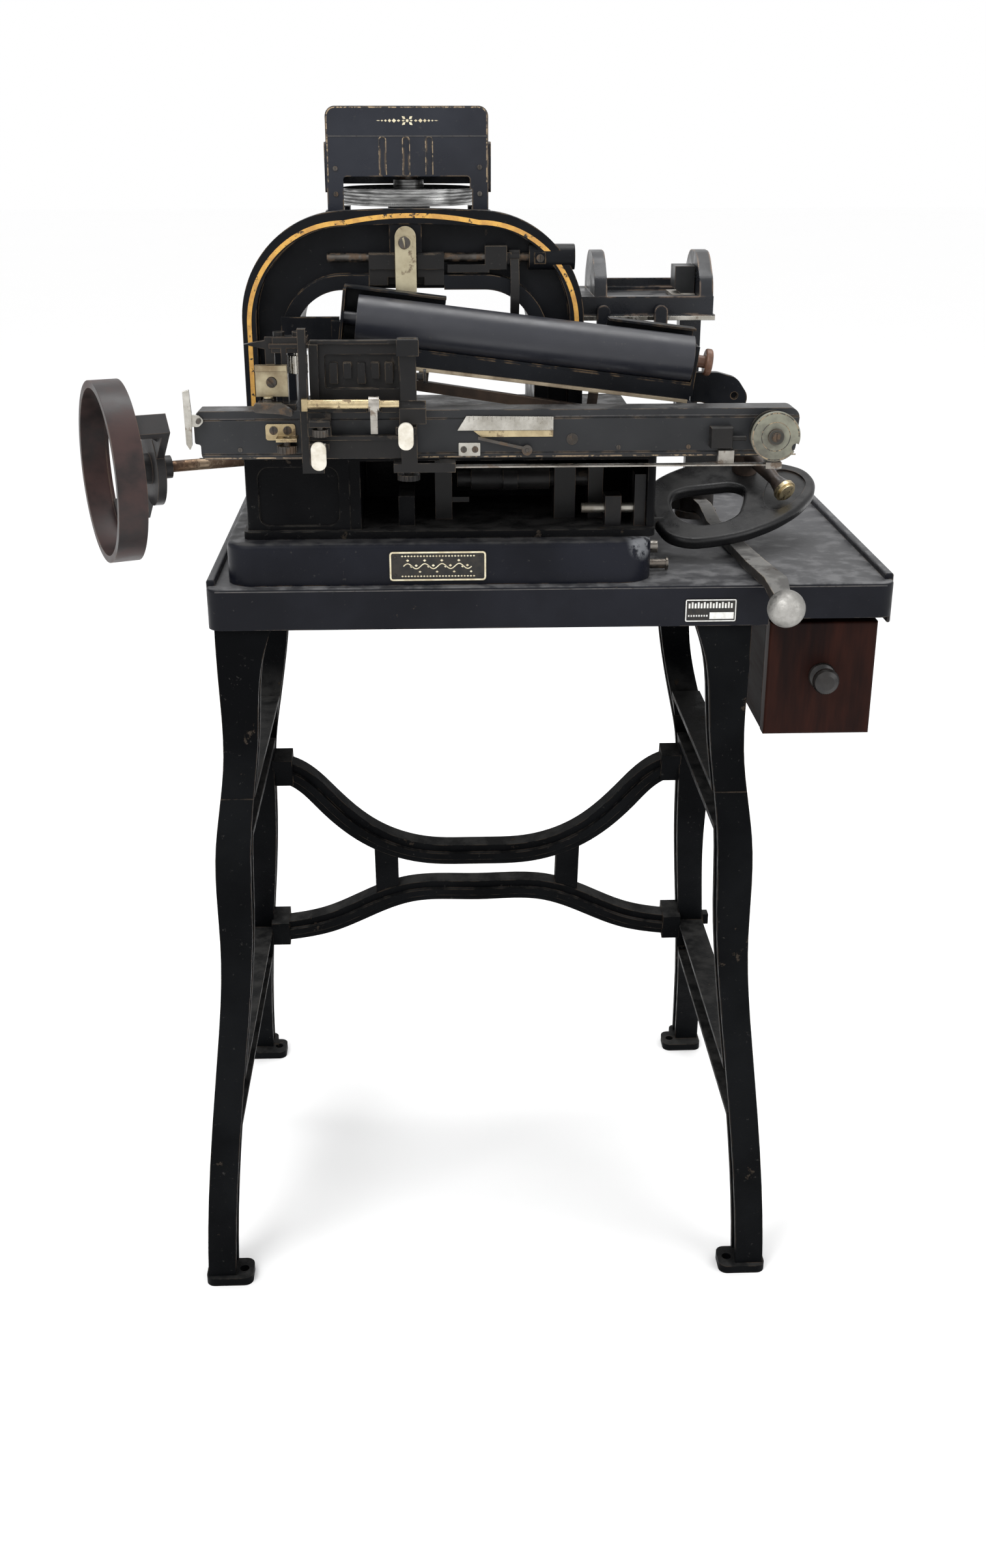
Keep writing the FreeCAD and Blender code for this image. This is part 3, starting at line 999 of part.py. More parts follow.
def plate_window():
    """The frame that holds the blank plate, with the row of dark fingers behind it."""
    y = (-204.0, -199.0)
    frame = box((-150.0, -60.0), y, (919.0, 968.0))
    opening = plate((-138.0, -74.0), (930.0, 959.0), 2.0, "y", y[0] - 1.0, y[1] + 1.0)
    pieces = [frame.cut(opening)]
    pieces.append(box((-138.0, -74.0), (y[1] - 0.5, y[1] + 3.0), (926.0, 963.0)))
    shape = fuse(pieces)
    bars = []
    for i in range(5):
        x = -134.0 + i * 12.0
        bars.append(plate((x, x + 7.0), (934.0 + (i % 2) * 4.0, 952.0), 1.0, "y", y[0] + 0.8, y[1]))
    top = box((-150.0, -60.0), (y[0] - 3.0, y[1]), (968.0, 971.0))
    return fuse([shape, top] + bars)


def brass_rod():
    """The clamp rod across the carriage: thick brass at the left, thinner steel at the right."""
    thick = rod((-152.0, ROD_Y, ROD_Z), (-90.0, ROD_Y, ROD_Z), 4.1)
    thin = rod((-90.0, ROD_Y, ROD_Z), (-74.0, ROD_Y, ROD_Z), 3.2)
    ear = box((-157.0, -152.0), (ROD_Y - 5.0, CARRIAGE_FRONT), (ROD_Z - 5.0, ROD_Z + 5.0))
    return fuse([thick, thin, ear])


def pin_lever():
    """A teardrop lever with a fine tip that hangs on the clamp rod."""
    hub = pipe((-100.0, ROD_Y, ROD_Z), (-91.0, ROD_Y, ROD_Z), 6.5, 4.1 + RUNNING)
    body = slab([(ROD_Y - 5.5, ROD_Z - 1.0), (ROD_Y - 9.0, ROD_Z - 12.0, 4.0), (ROD_Y - 8.0, 897.0),
                 (ROD_Y - 6.0, 897.0), (ROD_Y - 1.5, ROD_Z - 6.0, 3.0), (ROD_Y + 1.0,
                                                                         ROD_Z - 5.5)], "x", -98.5, -92.5)
    shape = fuse([hub, body])
    return shape.cut(rod((-105.0, ROD_Y, ROD_Z), (-85.0, ROD_Y, ROD_Z), 4.1 + RUNNING))


def finger_key(x, z, low, high):
    """A finger key: a rounded white tablet on a short lever that ends in its pivot eye."""
    tablet = plate(x, (low, high), 6.2, "y", KEY_FRONT, KEY_FRONT + 4.0)
    middle = (x[0] + x[1]) / 2.0
    stem = box((middle - 2.5, middle + 2.5), (KEY_FRONT + 3.5, KEY_Y - 1.0), (z - 2.5, z + 2.5))
    eye = rod((x[0] + 1.0, KEY_Y, z), (x[1] - 1.0, KEY_Y, z), 3.2)
    return fuse([tablet, stem, eye]).cut(rod((x[0], KEY_Y, z), (x[1], KEY_Y, z), KEY_PIN_R + RUNNING))


def left_key():
    return finger_key(LEFT_KEY_X, LEFT_KEY_Z, 867.0, 891.0)


def right_key():
    return finger_key(RIGHT_KEY_X, RIGHT_KEY_Z, 884.0, 907.0)


def thumb_knob(centre, radius, height, stem_height, stem_radius):
    """A fluted thumb knob with its stem, turning about a vertical axis."""
    x, y, z = centre.x, centre.y, centre.z
    head = rod((x, y, z), (x, y, z + height), radius)
    count = 16
    cuts = []
    for i in range(count):
        angle = 2.0 * math.pi * i / count
        cuts.append(rod((x + radius * math.cos(angle), y + radius * math.sin(angle), z - 1.0),
                        (x + radius * math.cos(angle), y + radius * math.sin(angle),
                         z + height + 1.0), radius * 0.09))
    head = head.cut(Part.makeCompound(cuts))
    low, high = sorted((z + height / 2.0, z + stem_height))
    return fuse([head, rod((x, y, low), (x, y, high), stem_radius)])


def side_bracket():
    """The brass bracket at the rail's left, its steel foot and post, the stacked plates and a pivot pin."""
    z0 = RAIL_Z[1]
    foot = box((-198.0, -164.0), (-206.0, -184.0), (z0, z0 + 5.0))
    post = box((-190.0, -182.0), (-190.0, -183.0), (z0, 972.0))
    brass = box((-199.0, -171.0), (-195.0, -190.0), (922.0, 947.0))
    brass_lip = box((-199.0, -171.0), (-198.0, -190.0), (944.0, 949.0))
    stem = box((-176.0, -171.0), (-194.0, -184.0), (z0 + 4.0, 964.0))
    plates = [box((-186.0, -150.0), (-194.0, -172.0), (963.0, 966.5)),
              box((-184.0, -154.0), (-193.0, -173.0), (959.0, 963.0)),
              box((-183.0, -153.0), (-192.0, -174.0), (966.5, 972.0))]
    arm = slab([(-208.0, 966.0), (-180.0, 959.5), (-180.0, 968.0), (-186.0, 970.0)], "y", -190.0, -184.0)
    humps = [rod((x, -183.0, 972.0), (x, -183.0, 976.0), r) for x, r in ((-178.0, 5.0), (-160.0, 6.5))]
    pin = fuse([rod((SIDE_PIVOT.x, SIDE_PIVOT.y, z0 + 4.0), (SIDE_PIVOT.x, SIDE_PIVOT.y, z0 + 11.0), 2.2),
                rod((SIDE_PIVOT.x, SIDE_PIVOT.y, z0 + 9.4), (SIDE_PIVOT.x, SIDE_PIVOT.y, z0 + 11.0), 4.0)])
    shape = fuse([foot, post, brass, brass_lip, stem, arm, pin] + plates + humps)
    return shape.cut(rod(KNURLED_KNOB, KNURLED_KNOB + V(0.0, 0.0, 25.0), 3.4 + RUNNING))


def side_lever():
    """The bright finger lever that turns on the bracket's foot and hangs in front of the rail."""
    low = RAIL_Z[1] + 5.4
    hub = rod((SIDE_PIVOT.x, SIDE_PIVOT.y, low), (SIDE_PIVOT.x, SIDE_PIVOT.y, low + 3.6), 4.8)
    neck = box((SIDE_PIVOT.x - 3.5, SIDE_PIVOT.x + 3.5), (-220.0, SIDE_PIVOT.y), (low, low + 2.6))
    paddle = slab([(-199.0, 912.5, 2.0), (-176.0, 911.0, 2.0), (-166.0, 908.5, 2.0), (-166.0, 914.0, 2.0),
                   (-176.0, 920.0, 2.0), (-199.0, 920.0, 2.0)], "y", -220.0, -212.0)
    shape = fuse([hub, neck, paddle])
    hole = rod((SIDE_PIVOT.x, SIDE_PIVOT.y, low - 1.0), (SIDE_PIVOT.x, SIDE_PIVOT.y, low + 5.0),
               2.2 + RUNNING)
    return shape.cut(hole)


# ---- Feed tube ----
def tube_frame():
    """Unit vectors of the tube: along it, up across it."""
    way = (TUBE_END - TUBE_START).normalize()
    up = V(-way.z, 0.0, way.x)
    return way, up


def feed_tube():
    way, _ = tube_frame()
    shell = rod(TUBE_START, TUBE_END, TUBE_R).cut(rod(TUBE_START + way * 4.0, TUBE_END - way * 4.0,
                                                      TUBE_R - 2.5))
    collar = rod(TUBE_END, TUBE_END + way * 5.0, TUBE_COLLAR_R)
    stub = rod(TUBE_START - way * 14.0, TUBE_START, TUBE_STUB_R)
    return fuse([shell, collar, stub])


def tube_knob():
    way, _ = tube_frame()
    start = TUBE_END + way * 5.0
    neck = rod(start, start + way * 8.0, 5.5)
    disc = rod(start + way * 7.5, start + way * 14.0, 12.0)
    disc = round_edges(disc, 2.0, lambda edge: edge.Closed)
    return fuse([neck, disc])


def across_tube(pieces):
    """Turn shapes drawn with the tube along +X from the origin onto the real tube."""
    way, up = tube_frame()
    turned = []
    for piece in pieces:
        piece = piece.copy()
        turn = FreeCAD.Rotation(way, V(0, 1, 0), up, "XYZ")
        piece.Placement = FreeCAD.Placement(TUBE_START, turn).multiply(piece.Placement)
        turned.append(piece)
    return turned


def tube_length():
    return (TUBE_END - TUBE_START).Length


def tube_trough():
    """A sheet cradle behind and under the tube, tall at both ends, with a flat skirt in front."""
    length = tube_length()
    inner = TUBE_R + TROUGH_GAP
    outer = inner + TROUGH_SHEET
    ring = pipe((-14.0, 0, 0), (length + 2.0, 0, 0), outer, inner)
    keep_back = box((-14.0, length + 2.0), (0.0, 40.0), (-40.0, 2.0))
    keep_under = box((-14.0, length + 2.0), (-14.0, 1.0), (-40.0, 0.0))
    cradle = ring.common(fuse([keep_back, keep_under]))
    flaps = []
    for x in ((-14.0, 78.0), (length - 78.0, length + 2.0)):
        upright = box(x, (inner, outer), (0.0, 25.0))
        fold = box(x, (inner - 16.0, outer), (25.0, 27.0))
        flaps.append(fuse([upright, fold]))
    skirt = box((-14.0, length + 2.0), (-15.0, -12.5), (-34.0, -20.0))
    end = box((-14.0, -11.5), (-15.0, outer), (-30.0, 26.0))
    end = end.cut(rod((-20.0, 0, 0), (0.0, 0, 0), TUBE_STUB_R + RUNNING))
    bearing = box((length + 0.8, length + 4.2), (-15.0, outer), (-30.0, 14.0))
    bearing = bearing.cut(rod((length, 0, 0), (length + 6.0, 0, 0), TUBE_COLLAR_R + RUNNING))
    return across_tube([fuse([cradle, skirt, end, bearing] + flaps)])


def trough_lip():
    """The brass-edged strip under the trough's skirt and the rusted guide bar below it."""
    length = tube_length()
    edge = box((-10.0, length), (-18.5, -15.0), (-36.0, -33.0))
    guide = box((10.0, length - 40.0), (-20.0, -12.0), (-52.0, -43.0))
    guide.rotate(V(10.0, 0, -48.0), V(0, 1, 0), 1.6)
    ties = [box((x, x + 9.0), (-15.0, -12.5), (-48.0, -34.0)) for x in (60.0, length - 90.0)]
    return across_tube([edge, fuse([guide] + ties)])


def tube_brackets():
    """Left arm from the arch's throat to the trough's end, a strut at the right limb and a curved lug."""
    front = ARCH_FRONT
    left = fuse([box((-182.0, -129.0), (front - 6.0, front), (954.0, 979.0)),
                 box((-136.0, -125.0), (front - 14.0, front), (957.0, 976.0))])
    strut = box((82.0, 93.0), (front - 12.0, front), (932.0, 952.0))
    lug_front = -122.5
    lug = slab([(193.5, 903.0, 2.0), (205.0, 903.0, 12.0), (219.0, 895.0, 12.0), (243.0, 893.0, 8.0),
                (247.0, 909.0, 12.0), (236.0, 925.0, 14.0), (218.0, 930.0, 14.0), (193.5, 930.0, 3.0)],
               "y", lug_front, -113.0)
    dimple = rod((234.0, lug_front - 1.0, 909.0), (234.0, lug_front + 3.5, 909.0), 3.2)
    return [left, strut, lug.cut(dimple)]


# ---- Hopper ----
# Side view of a hopper cheek as (y, z, corner radius).
CHEEK = [(-48.0, 988.0), (-46.0, 1003.0, 20.0), (-16.0, 1028.0, 40.0), (28.0, 1028.0, 40.0),
         (54.0, 1003.0, 20.0), (56.0, 988.0)]
HOPPER_INSIDE = (121.5, 209.5)


def hopper_frame():
    """The blank-plate hopper: base, two round-topped cheeks, a low back and the leg on the dial's arm."""
    base = box((HOPPER_LEFT, 223.0), (-48.0, 56.0), (973.5, 990.0))
    ledge = box((HOPPER_LEFT, 224.5), (-52.0, 56.0), (968.5, 973.5))
    left = slab(CHEEK, "x", 109.5, HOPPER_INSIDE[0])
    right = slab(CHEEK, "x", HOPPER_INSIDE[1], 222.5)
    back = box((HOPPER_INSIDE[0] - 1.0, HOPPER_INSIDE[1] + 1.0), (48.0, 54.0), (988.0, 998.0))
    channel = box(HOPPER_INSIDE, (-36.0, 44.0), (986.5, 992.0))
    leg = box((200.0, 221.0), (8.0, 28.0), (862.0, 970.0))
    tie = box((HOPPER_LEFT, 100.0), (-40.0, 30.0), (950.0, 974.0))
    lugs = [plate((x, x + 12.5), (959.0, 983.0), 6.0, "y", -58.0, -51.5) for x in (111.5, 166.0)]
    shape = fuse([base, ledge, left, right, back, leg, tie] + lugs)
    return cut(shape, [channel])


def hopper_pusher():
    """The follower block that pushes blank plates along the hopper's channel."""
    low = 986.8
    block = slab([(189.5, low + 8.0), (189.5, 1015.0), (208.5, 1015.0), (208.5, low + 3.0),
                  (196.0, low + 3.0)], "y", -20.0, 10.0)
    slide = box((186.0, 208.5), (-26.0, 16.0), (low, low + 3.2))
    return fuse([block, slide])


# ---- Write every node ----
right_frame = right_side_frame()
NODES = {
    "table_top": table_top(),
    "right_side_frame": right_frame,
    "left_side_frame": mirror_x(right_frame),
    "stretcher": stretcher(),
    "frame_bolts": frame_bolts(),
    "drawer_case": drawer_case(),
    "drawer_box": drawer_box(),
    "drawer_front": drawer_front(),
    "drawer_knob": drawer_knob(),
    "machine_base": machine_base(),
    "nameplates": nameplates(),
    "base_pins": base_pins(),
    "body_casting": body_casting(),
    "arch_frame": arch_frame(),
    "top_cover": top_cover(),
    "type_wheel": type_wheel(),
    "guide_block": guide_block(),
    "ram_link": ram_link(),
    "ram_punch": ram_punch(),
    "rock_shaft": rock_shaft(),
    "crank_arm": crank_arm(),
    "main_shaft": main_shaft(),
    "shaft_bearings": shaft_bearings(),
    "handwheel": handwheel(),
    "handwheel_shaft": handwheel_shaft(),
    "lever_arm": lever_arm(),
    "lever_ball": lever_ball(),
    "pivot_pins": pivot_pins(),
    "dial_plate": dial_plate(),
    "selector_arm": selector_arm(),
    "selector_ferrule": selector_ferrule(),
    "rail": rail(),
    "rail_brackets": rail_brackets(),
    "scale_plates": scale_plates(),
    "brass_plates": brass_plates(),
    "slotted_screws": slotted_screws(),
    "tension_tape": tension_tape(),
    "spring_drum": spring_drum(),
    "latch_block": latch_block(),
    "scale_pawl": scale_pawl(),
    "end_latch": end_latch(),
    "carriage_frame": carriage_frame(),
    "plate_window": plate_window(),
    "brass_rod": brass_rod(),
    "pin_lever": pin_lever(),
    "left_key": left_key(),
    "right_key": right_key(),
    "stop_knob": thumb_knob(STOP_KNOB, 7.0, 6.0, 13.0, STOP_STEM_R),
    "clamp_knob": thumb_knob(CLAMP_KNOB, 10.0, 5.0, 9.5, CLAMP_STEM_R),
    "rail_knob": thumb_knob(RAIL_KNOB, 9.0, 6.0, 12.5, 3.6),
    "side_bracket": side_bracket(),
    "knurled_knob": thumb_knob(KNURLED_KNOB, 8.5, 15.0, 24.0, 3.4),
    "side_lever": side_lever(),
    "feed_tube": feed_tube(),
    "tube_knob": tube_knob(),
    "tube_trough": tube_trough(),
    "trough_lip": trough_lip(),
    "tube_brackets": tube_brackets(),
    "hopper_frame": hopper_frame(),
    "hopper_pusher": hopper_pusher(),
}
for node, shape in NODES.items():
    save(node, shape)
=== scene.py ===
import math
import random

import bmesh
import bpy
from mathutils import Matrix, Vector


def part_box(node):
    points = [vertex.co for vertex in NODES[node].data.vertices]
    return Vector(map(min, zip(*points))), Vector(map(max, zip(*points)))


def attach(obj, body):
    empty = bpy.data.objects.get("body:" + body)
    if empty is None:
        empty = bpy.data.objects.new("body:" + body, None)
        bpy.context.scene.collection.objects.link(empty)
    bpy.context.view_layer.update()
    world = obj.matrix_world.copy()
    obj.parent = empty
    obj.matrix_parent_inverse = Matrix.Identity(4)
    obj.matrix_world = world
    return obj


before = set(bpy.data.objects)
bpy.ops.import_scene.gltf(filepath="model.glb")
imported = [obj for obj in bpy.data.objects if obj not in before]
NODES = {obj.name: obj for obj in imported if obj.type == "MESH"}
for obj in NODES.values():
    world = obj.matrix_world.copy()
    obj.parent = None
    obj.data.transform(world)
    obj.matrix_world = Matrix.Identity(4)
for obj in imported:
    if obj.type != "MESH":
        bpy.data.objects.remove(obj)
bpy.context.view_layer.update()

MM = 0.001
random.seed(1911)


# ---------------------------------------------------------------- where the finishes change on a part, in metres
HAND_ANGLE = math.radians(22.0)
HAND_ENTRY = (-0.217, -0.098, 0.848)
HAND_AXIS = (-math.cos(HAND_ANGLE), -math.sin(HAND_ANGLE), 0.0)
HAND_HOOP_NEAR = 0.118
HAND_HOOP_INSIDE = 0.0725
DRUM_CENTRE = (0.253, -0.229, 0.8905)
DRUM_HUB_R = 0.0068
DRUM_FLANGE = 0.0036
PUSHER_SLIDE_TOP = 0.9900
TYPE_DISC_PITCH = 0.0029
CROSS_PIN = (0.1, -0.146, 0.8105)
CROSS_PIN_R = 0.0047
BRACKET_PLATE_Z = (0.9215, 0.9490)
BRACKET_PLATE_BACK = -0.1901
TUBE_SLOPE = 37.5 / 302.0
TROUGH_EDGE_LEVEL = 0.9288
BASE_BARE_CORNER = (0.146, -0.180, 0.786)

SPECK_COLOR = (0.045, 0.043, 0.040)
CHIP_COLOR = (0.030, 0.024, 0.019)
BARE_IRON = (0.15, 0.155, 0.165)
SCUFFED_WOOD = (0.10, 0.05, 0.028)
GRIMY_WOOD = (0.012, 0.006, 0.005)
EDGE_WEAR = (0.13, 0.09, 0.06)


# ---------------------------------------------------------------- material graph helpers
class Look:
    """A procedural material. Its methods return sockets, in object space, in metres."""

    def __init__(self, name):
        self.material = bpy.data.materials.new(name)
        self.material.use_nodes = True
        self.tree = self.material.node_tree
        self.shader = self.tree.nodes["Principled BSDF"]
        self.where = self.add("ShaderNodeTexCoord").outputs["Object"]
        self.facing = self.add("ShaderNodeNewGeometry").outputs["Normal"]

    def add(self, kind, **settings):
        node = self.tree.nodes.new(kind)
        for key, value in settings.items():
            setattr(node, key, value)
        return node

    def feed(self, socket, value):
        if isinstance(value, bpy.types.NodeSocket):
            self.tree.links.new(value, socket)
        elif hasattr(socket.default_value, "__len__") and len(value) == 3 and len(socket.default_value) == 4:
            socket.default_value = (*value, 1.0)
        else:
            socket.default_value = value

    def noise(self, scale, detail=3.0, roughness=0.55, stretch=None, distortion=0.0):
        """Cloudy values from 0 to 1; scale counts features per metre."""
        node = self.add("ShaderNodeTexNoise")
        vector = self.where
        if stretch:
            mapping = self.add("ShaderNodeMapping")
            self.feed(mapping.inputs["Vector"], vector)
            mapping.inputs["Scale"].default_value = stretch
            vector = mapping.outputs["Vector"]
        self.feed(node.inputs["Vector"], vector)
        node.inputs["Scale"].default_value = scale
        node.inputs["Detail"].default_value = detail
        node.inputs["Roughness"].default_value = roughness
        node.inputs["Distortion"].default_value = distortion
        return node.outputs["Fac"]

    def step(self, value, low, high, bottom=0.0, top=1.0):
        """Rises smoothly from bottom to top as value goes from low to high."""
        node = self.add("ShaderNodeMapRange", interpolation_type="SMOOTHSTEP")
        self.feed(node.inputs["Value"], value)
        for key, number in (("From Min", low), ("From Max", high), ("To Min", bottom), ("To Max", top)):
            node.inputs[key].default_value = number
        return node.outputs["Result"]

    def calc(self, operation, first, second=0.5):
        """One step of arithmetic on two values."""
        node = self.add("ShaderNodeMath", operation=operation)
        self.feed(node.inputs[0], first)
        self.feed(node.inputs[1], second)
        return node.outputs["Value"]

    def blend(self, amount, first, second):
        """From the first colour to the second as amount goes from 0 to 1."""
        node = self.add("ShaderNodeMix", data_type="RGBA")
        self.feed(node.inputs["Factor"], amount)
        self.feed(node.inputs[6], first)
        self.feed(node.inputs[7], second)
        return node.outputs[2]

    def upward(self, low=0.55, high=0.95):
        """1 on surfaces that face up, 0 on walls."""
        node = self.add("ShaderNodeSeparateXYZ")
        self.feed(node.inputs[0], self.facing)
        return self.step(node.outputs["Z"], low, high)

    def along(self, axis):
        """Position along X, Y or Z."""
        node = self.add("ShaderNodeSeparateXYZ")
        self.feed(node.inputs[0], self.where)
        return node.outputs[axis]

    def reach(self, origin, axis):
        """Distance along an axis through origin, and distance from it."""
        offset = self.add("ShaderNodeVectorMath", operation="SUBTRACT")
        self.feed(offset.inputs[0], self.where)
        offset.inputs[1].default_value = origin
        dot = self.add("ShaderNodeVectorMath", operation="DOT_PRODUCT")
        self.feed(dot.inputs[0], offset.outputs["Vector"])
        dot.inputs[1].default_value = axis
        length = self.add("ShaderNodeVectorMath", operation="LENGTH")
        self.feed(length.inputs[0], offset.outputs["Vector"])
        squares = [self.calc("POWER", out, 2.0) for out in (length.outputs["Value"], dot.outputs["Value"])]
        return dot.outputs["Value"], self.calc("SQRT", self.calc("SUBTRACT", squares[0], squares[1]), 0.5)

    def edges(self, radius, low=0.02, high=0.22):
        """1 near an edge of the mesh, 0 on flat parts."""
        rounded = self.add("ShaderNodeBevel", samples=4)
        rounded.inputs["Radius"].default_value = radius
        dot = self.add("ShaderNodeVectorMath", operation="DOT_PRODUCT")
        self.feed(dot.inputs[0], rounded.outputs["Normal"])
        self.feed(dot.inputs[1], self.facing)
        gap = self.calc("SUBTRACT", 1.0, dot.outputs["Value"])
        return self.step(gap, low, high)

    def surface(self, height, distance, rounding=0.0006):
        """Bump over softly rounded edges."""
        rounded = self.add("ShaderNodeBevel", samples=4)
        rounded.inputs["Radius"].default_value = rounding
        bump = self.add("ShaderNodeBump")
        bump.inputs["Strength"].default_value = 1.0
        bump.inputs["Distance"].default_value = distance
        self.feed(bump.inputs["Height"], height)
        self.feed(bump.inputs["Normal"], rounded.outputs["Normal"])
        self.feed(self.shader.inputs["Normal"], bump.outputs["Normal"])

    def finish(self, color, rough, metal=0.0, shine=0.5):
        """Feeds the shader and returns the material."""
        self.feed(self.shader.inputs["Base Color"], color)
        self.feed(self.shader.inputs["Roughness"], rough)
        self.feed(self.shader.inputs["Metallic"], metal)
        self.shader.inputs["Specular IOR Level"].default_value = shine
        return self.material


def enamel(name, dark, light, wear=(0.16, 0.11, 0.065), wear_reach=0.0016, dust_and_sheen=0.5, rough=(0.26, 0.5), grit=0.00012,
           chips=0.68, shine=0.22, dust_and_sheen_color=(0.10, 0.098, 0.094), bare_corner=None):
    """Old japanned paint over cast iron: mottled, dusty on top (on the table top partly a painted reflection), bare
    along its edges, chipped.
    """
    look = Look(name)
    broad = look.noise(7.0, 4.0)
    middle = look.noise(48.0, 5.0, 0.6)
    fine = look.noise(420.0, 3.0)
    color = look.blend(look.step(broad, 0.35, 0.7), dark, light)
    # Dust on faces that point up; on the table top it is also a painted reflection.
    dust_and_sheen_mask = look.calc("MULTIPLY", look.upward(), look.step(middle, 0.36, 0.66, 0.25, 1.0))
    dust_and_sheen_mask = look.calc("MULTIPLY", dust_and_sheen_mask, dust_and_sheen)
    color = look.blend(dust_and_sheen_mask, color, dust_and_sheen_color)
    speck = look.step(look.noise(190.0, 4.0, 0.7), 0.64, 0.72, 0.0, 0.5)
    color = look.blend(speck, color, SPECK_COLOR)
    chip = look.step(look.noise(34.0, 9.0, 0.62), chips, chips + 0.025)
    color = look.blend(chip, color, CHIP_COLOR)
    worn = look.calc("MULTIPLY", look.edges(wear_reach), look.step(middle, 0.44, 0.58))
    color = look.blend(worn, color, wear)
    if bare_corner:
        far = look.add("ShaderNodeVectorMath", operation="DISTANCE")
        look.feed(far.inputs[0], look.where)
        far.inputs[1].default_value = bare_corner
        bare = look.step(far.outputs["Value"], 0.009, 0.019, 1.0, 0.0)
        bare = look.calc("MULTIPLY", bare, look.step(look.noise(90.0, 5.0, 0.6), 0.40, 0.52))
        color = look.blend(bare, color, BARE_IRON)
    rough_map = look.step(middle, 0.3, 0.7, rough[0], rough[1])
    rough_map = look.calc("ADD", rough_map, look.calc("MULTIPLY", dust_and_sheen_mask, 0.35))
    height = look.calc("SUBTRACT", look.calc("MULTIPLY", fine, 0.5), look.calc("MULTIPLY", chip, 0.8))
    height = look.calc("ADD", height, look.calc("MULTIPLY", middle, 0.9))
    look.surface(height, grit, 0.0009)
    return look.finish(color, rough_map, look.calc("MULTIPLY", worn, 0.5), shine)


def metal(name, bright, dull, rough=(0.25, 0.5), stain=0.5, stain_color=(0.09, 0.055, 0.03), grit=0.00005):
    """Old bare metal: uneven tarnish, stains in patches, bright along worn edges."""
    look = Look(name)
    broad = look.noise(22.0, 5.0, 0.6)
    fine = look.noise(260.0, 3.0, 0.6)
    color = look.blend(look.step(broad, 0.3, 0.68), bright, dull)
    stained = look.step(look.noise(75.0, 6.0, 0.65), 1.0 - stain, 1.08 - stain)
    color = look.blend(look.calc("MULTIPLY", stained, 0.75), color, stain_color)
    color = look.blend(look.calc("MULTIPLY", look.edges(0.0009), 0.5), color, bright)
    rough_map = look.calc("ADD", look.step(fine, 0.3, 0.7, rough[0], rough[1]), look.calc("MULTIPLY", stained, 0.2))
    look.surface(look.calc("ADD", fine, look.calc("MULTIPLY", broad, 0.6)), grit, 0.0005)
    return look.finish(color, rough_map, look.calc("SUBTRACT", 1.0, look.calc("MULTIPLY", stained, 0.45)))


def wood(name, dark, light, stretch, rough=(0.3, 0.5)):
    """Dark varnished mahogany with long grain lines, pores and scuffed edges."""
    look = Look(name)
    flow = look.noise(1.0, 5.0, 0.6, stretch, 0.6)
    pores = look.noise(5.0, 3.0, 0.7, stretch)
    grain = look.calc("ADD", look.calc("MULTIPLY", flow, 0.65), look.calc("MULTIPLY", pores, 0.35))
    color = look.blend(look.step(grain, 0.36, 0.66), dark, light)
    scuff = look.calc("MULTIPLY", look.edges(0.002), look.step(look.noise(50.0, 5.0), 0.42, 0.6))
    color = look.blend(scuff, color, SCUFFED_WOOD)
    grime = look.step(look.noise(9.0, 6.0, 0.65), 0.5, 0.72)
    color = look.blend(look.calc("MULTIPLY", grime, 0.6), color, GRIMY_WOOD)
    look.surface(grain, 0.00018, 0.0012)
    return look.finish(color, look.step(grain, 0.3, 0.7, rough[0], rough[1]), shine=0.07)


def plain(name, first, second, rough=(0.35, 0.55), scale=60.0, grit=0.00005, wear=None, shine=0.35):
    """A simpler two-tone finish with grime in patches."""
    look = Look(name)
    broad = look.noise(scale, 5.0, 0.6)
    fine = look.noise(scale * 7.0, 3.0)
    color = look.blend(look.step(broad, 0.32, 0.68), first, second)
    if wear:
        worn = look.calc("MULTIPLY", look.edges(0.0012), look.step(fine, 0.35, 0.6))
        color = look.blend(worn, color, wear)
    look.surface(fine, grit, 0.0008)
    return look.finish(color, look.step(broad, 0.3, 0.7, rough[0], rough[1]), shine=shine)


def thin_line(name, first, second, rubbed_from, metallic=0.25):
    """A hand-painted or worn-bright line, rubbed through to the enamel in places."""
    look = Look(name)
    tone = look.noise(90.0, 5.0, 0.6)
    rubbed = look.step(look.noise(160.0, 7.0, 0.7), rubbed_from, rubbed_from + 0.07)
    color = look.blend(look.step(tone, 0.35, 0.65), first, second)
    color = look.blend(rubbed, color, (0.016, 0.013, 0.011))
    look.surface(tone, 0.00004, 0.0003)
    return look.finish(color, look.step(tone, 0.3, 0.7, 0.38, 0.55), metallic)


def two_zone(name, chooser, first, second, rough=(0.3, 0.5), shine=0.3, metallic=(0.0, 0.0), grit=0.00006):
    """Two mottled colours on one casting; chooser(look) gives 0 for the first zone and 1 for the second."""
    look = Look(name)
    broad = look.noise(26.0, 5.0, 0.6)
    fine = look.noise(300.0, 3.0)
    zone = chooser(look)
    mottled = [look.blend(look.step(broad, 0.35, 0.68), pair[0], pair[1]) for pair in (first, second)]
    color = look.blend(zone, mottled[0], mottled[1])
    worn = look.calc("MULTIPLY", look.edges(0.0012), look.step(broad, 0.40, 0.58))
    color = look.blend(look.calc("MULTIPLY", worn, 0.8), color, EDGE_WEAR)
    metal_map = look.calc("ADD", look.calc("MULTIPLY", zone, metallic[1] - metallic[0]), metallic[0])
    look.surface(fine, grit, 0.0008)
    return look.finish(color, look.step(broad, 0.3, 0.7, rough[0], rough[1]), metal_map, shine)


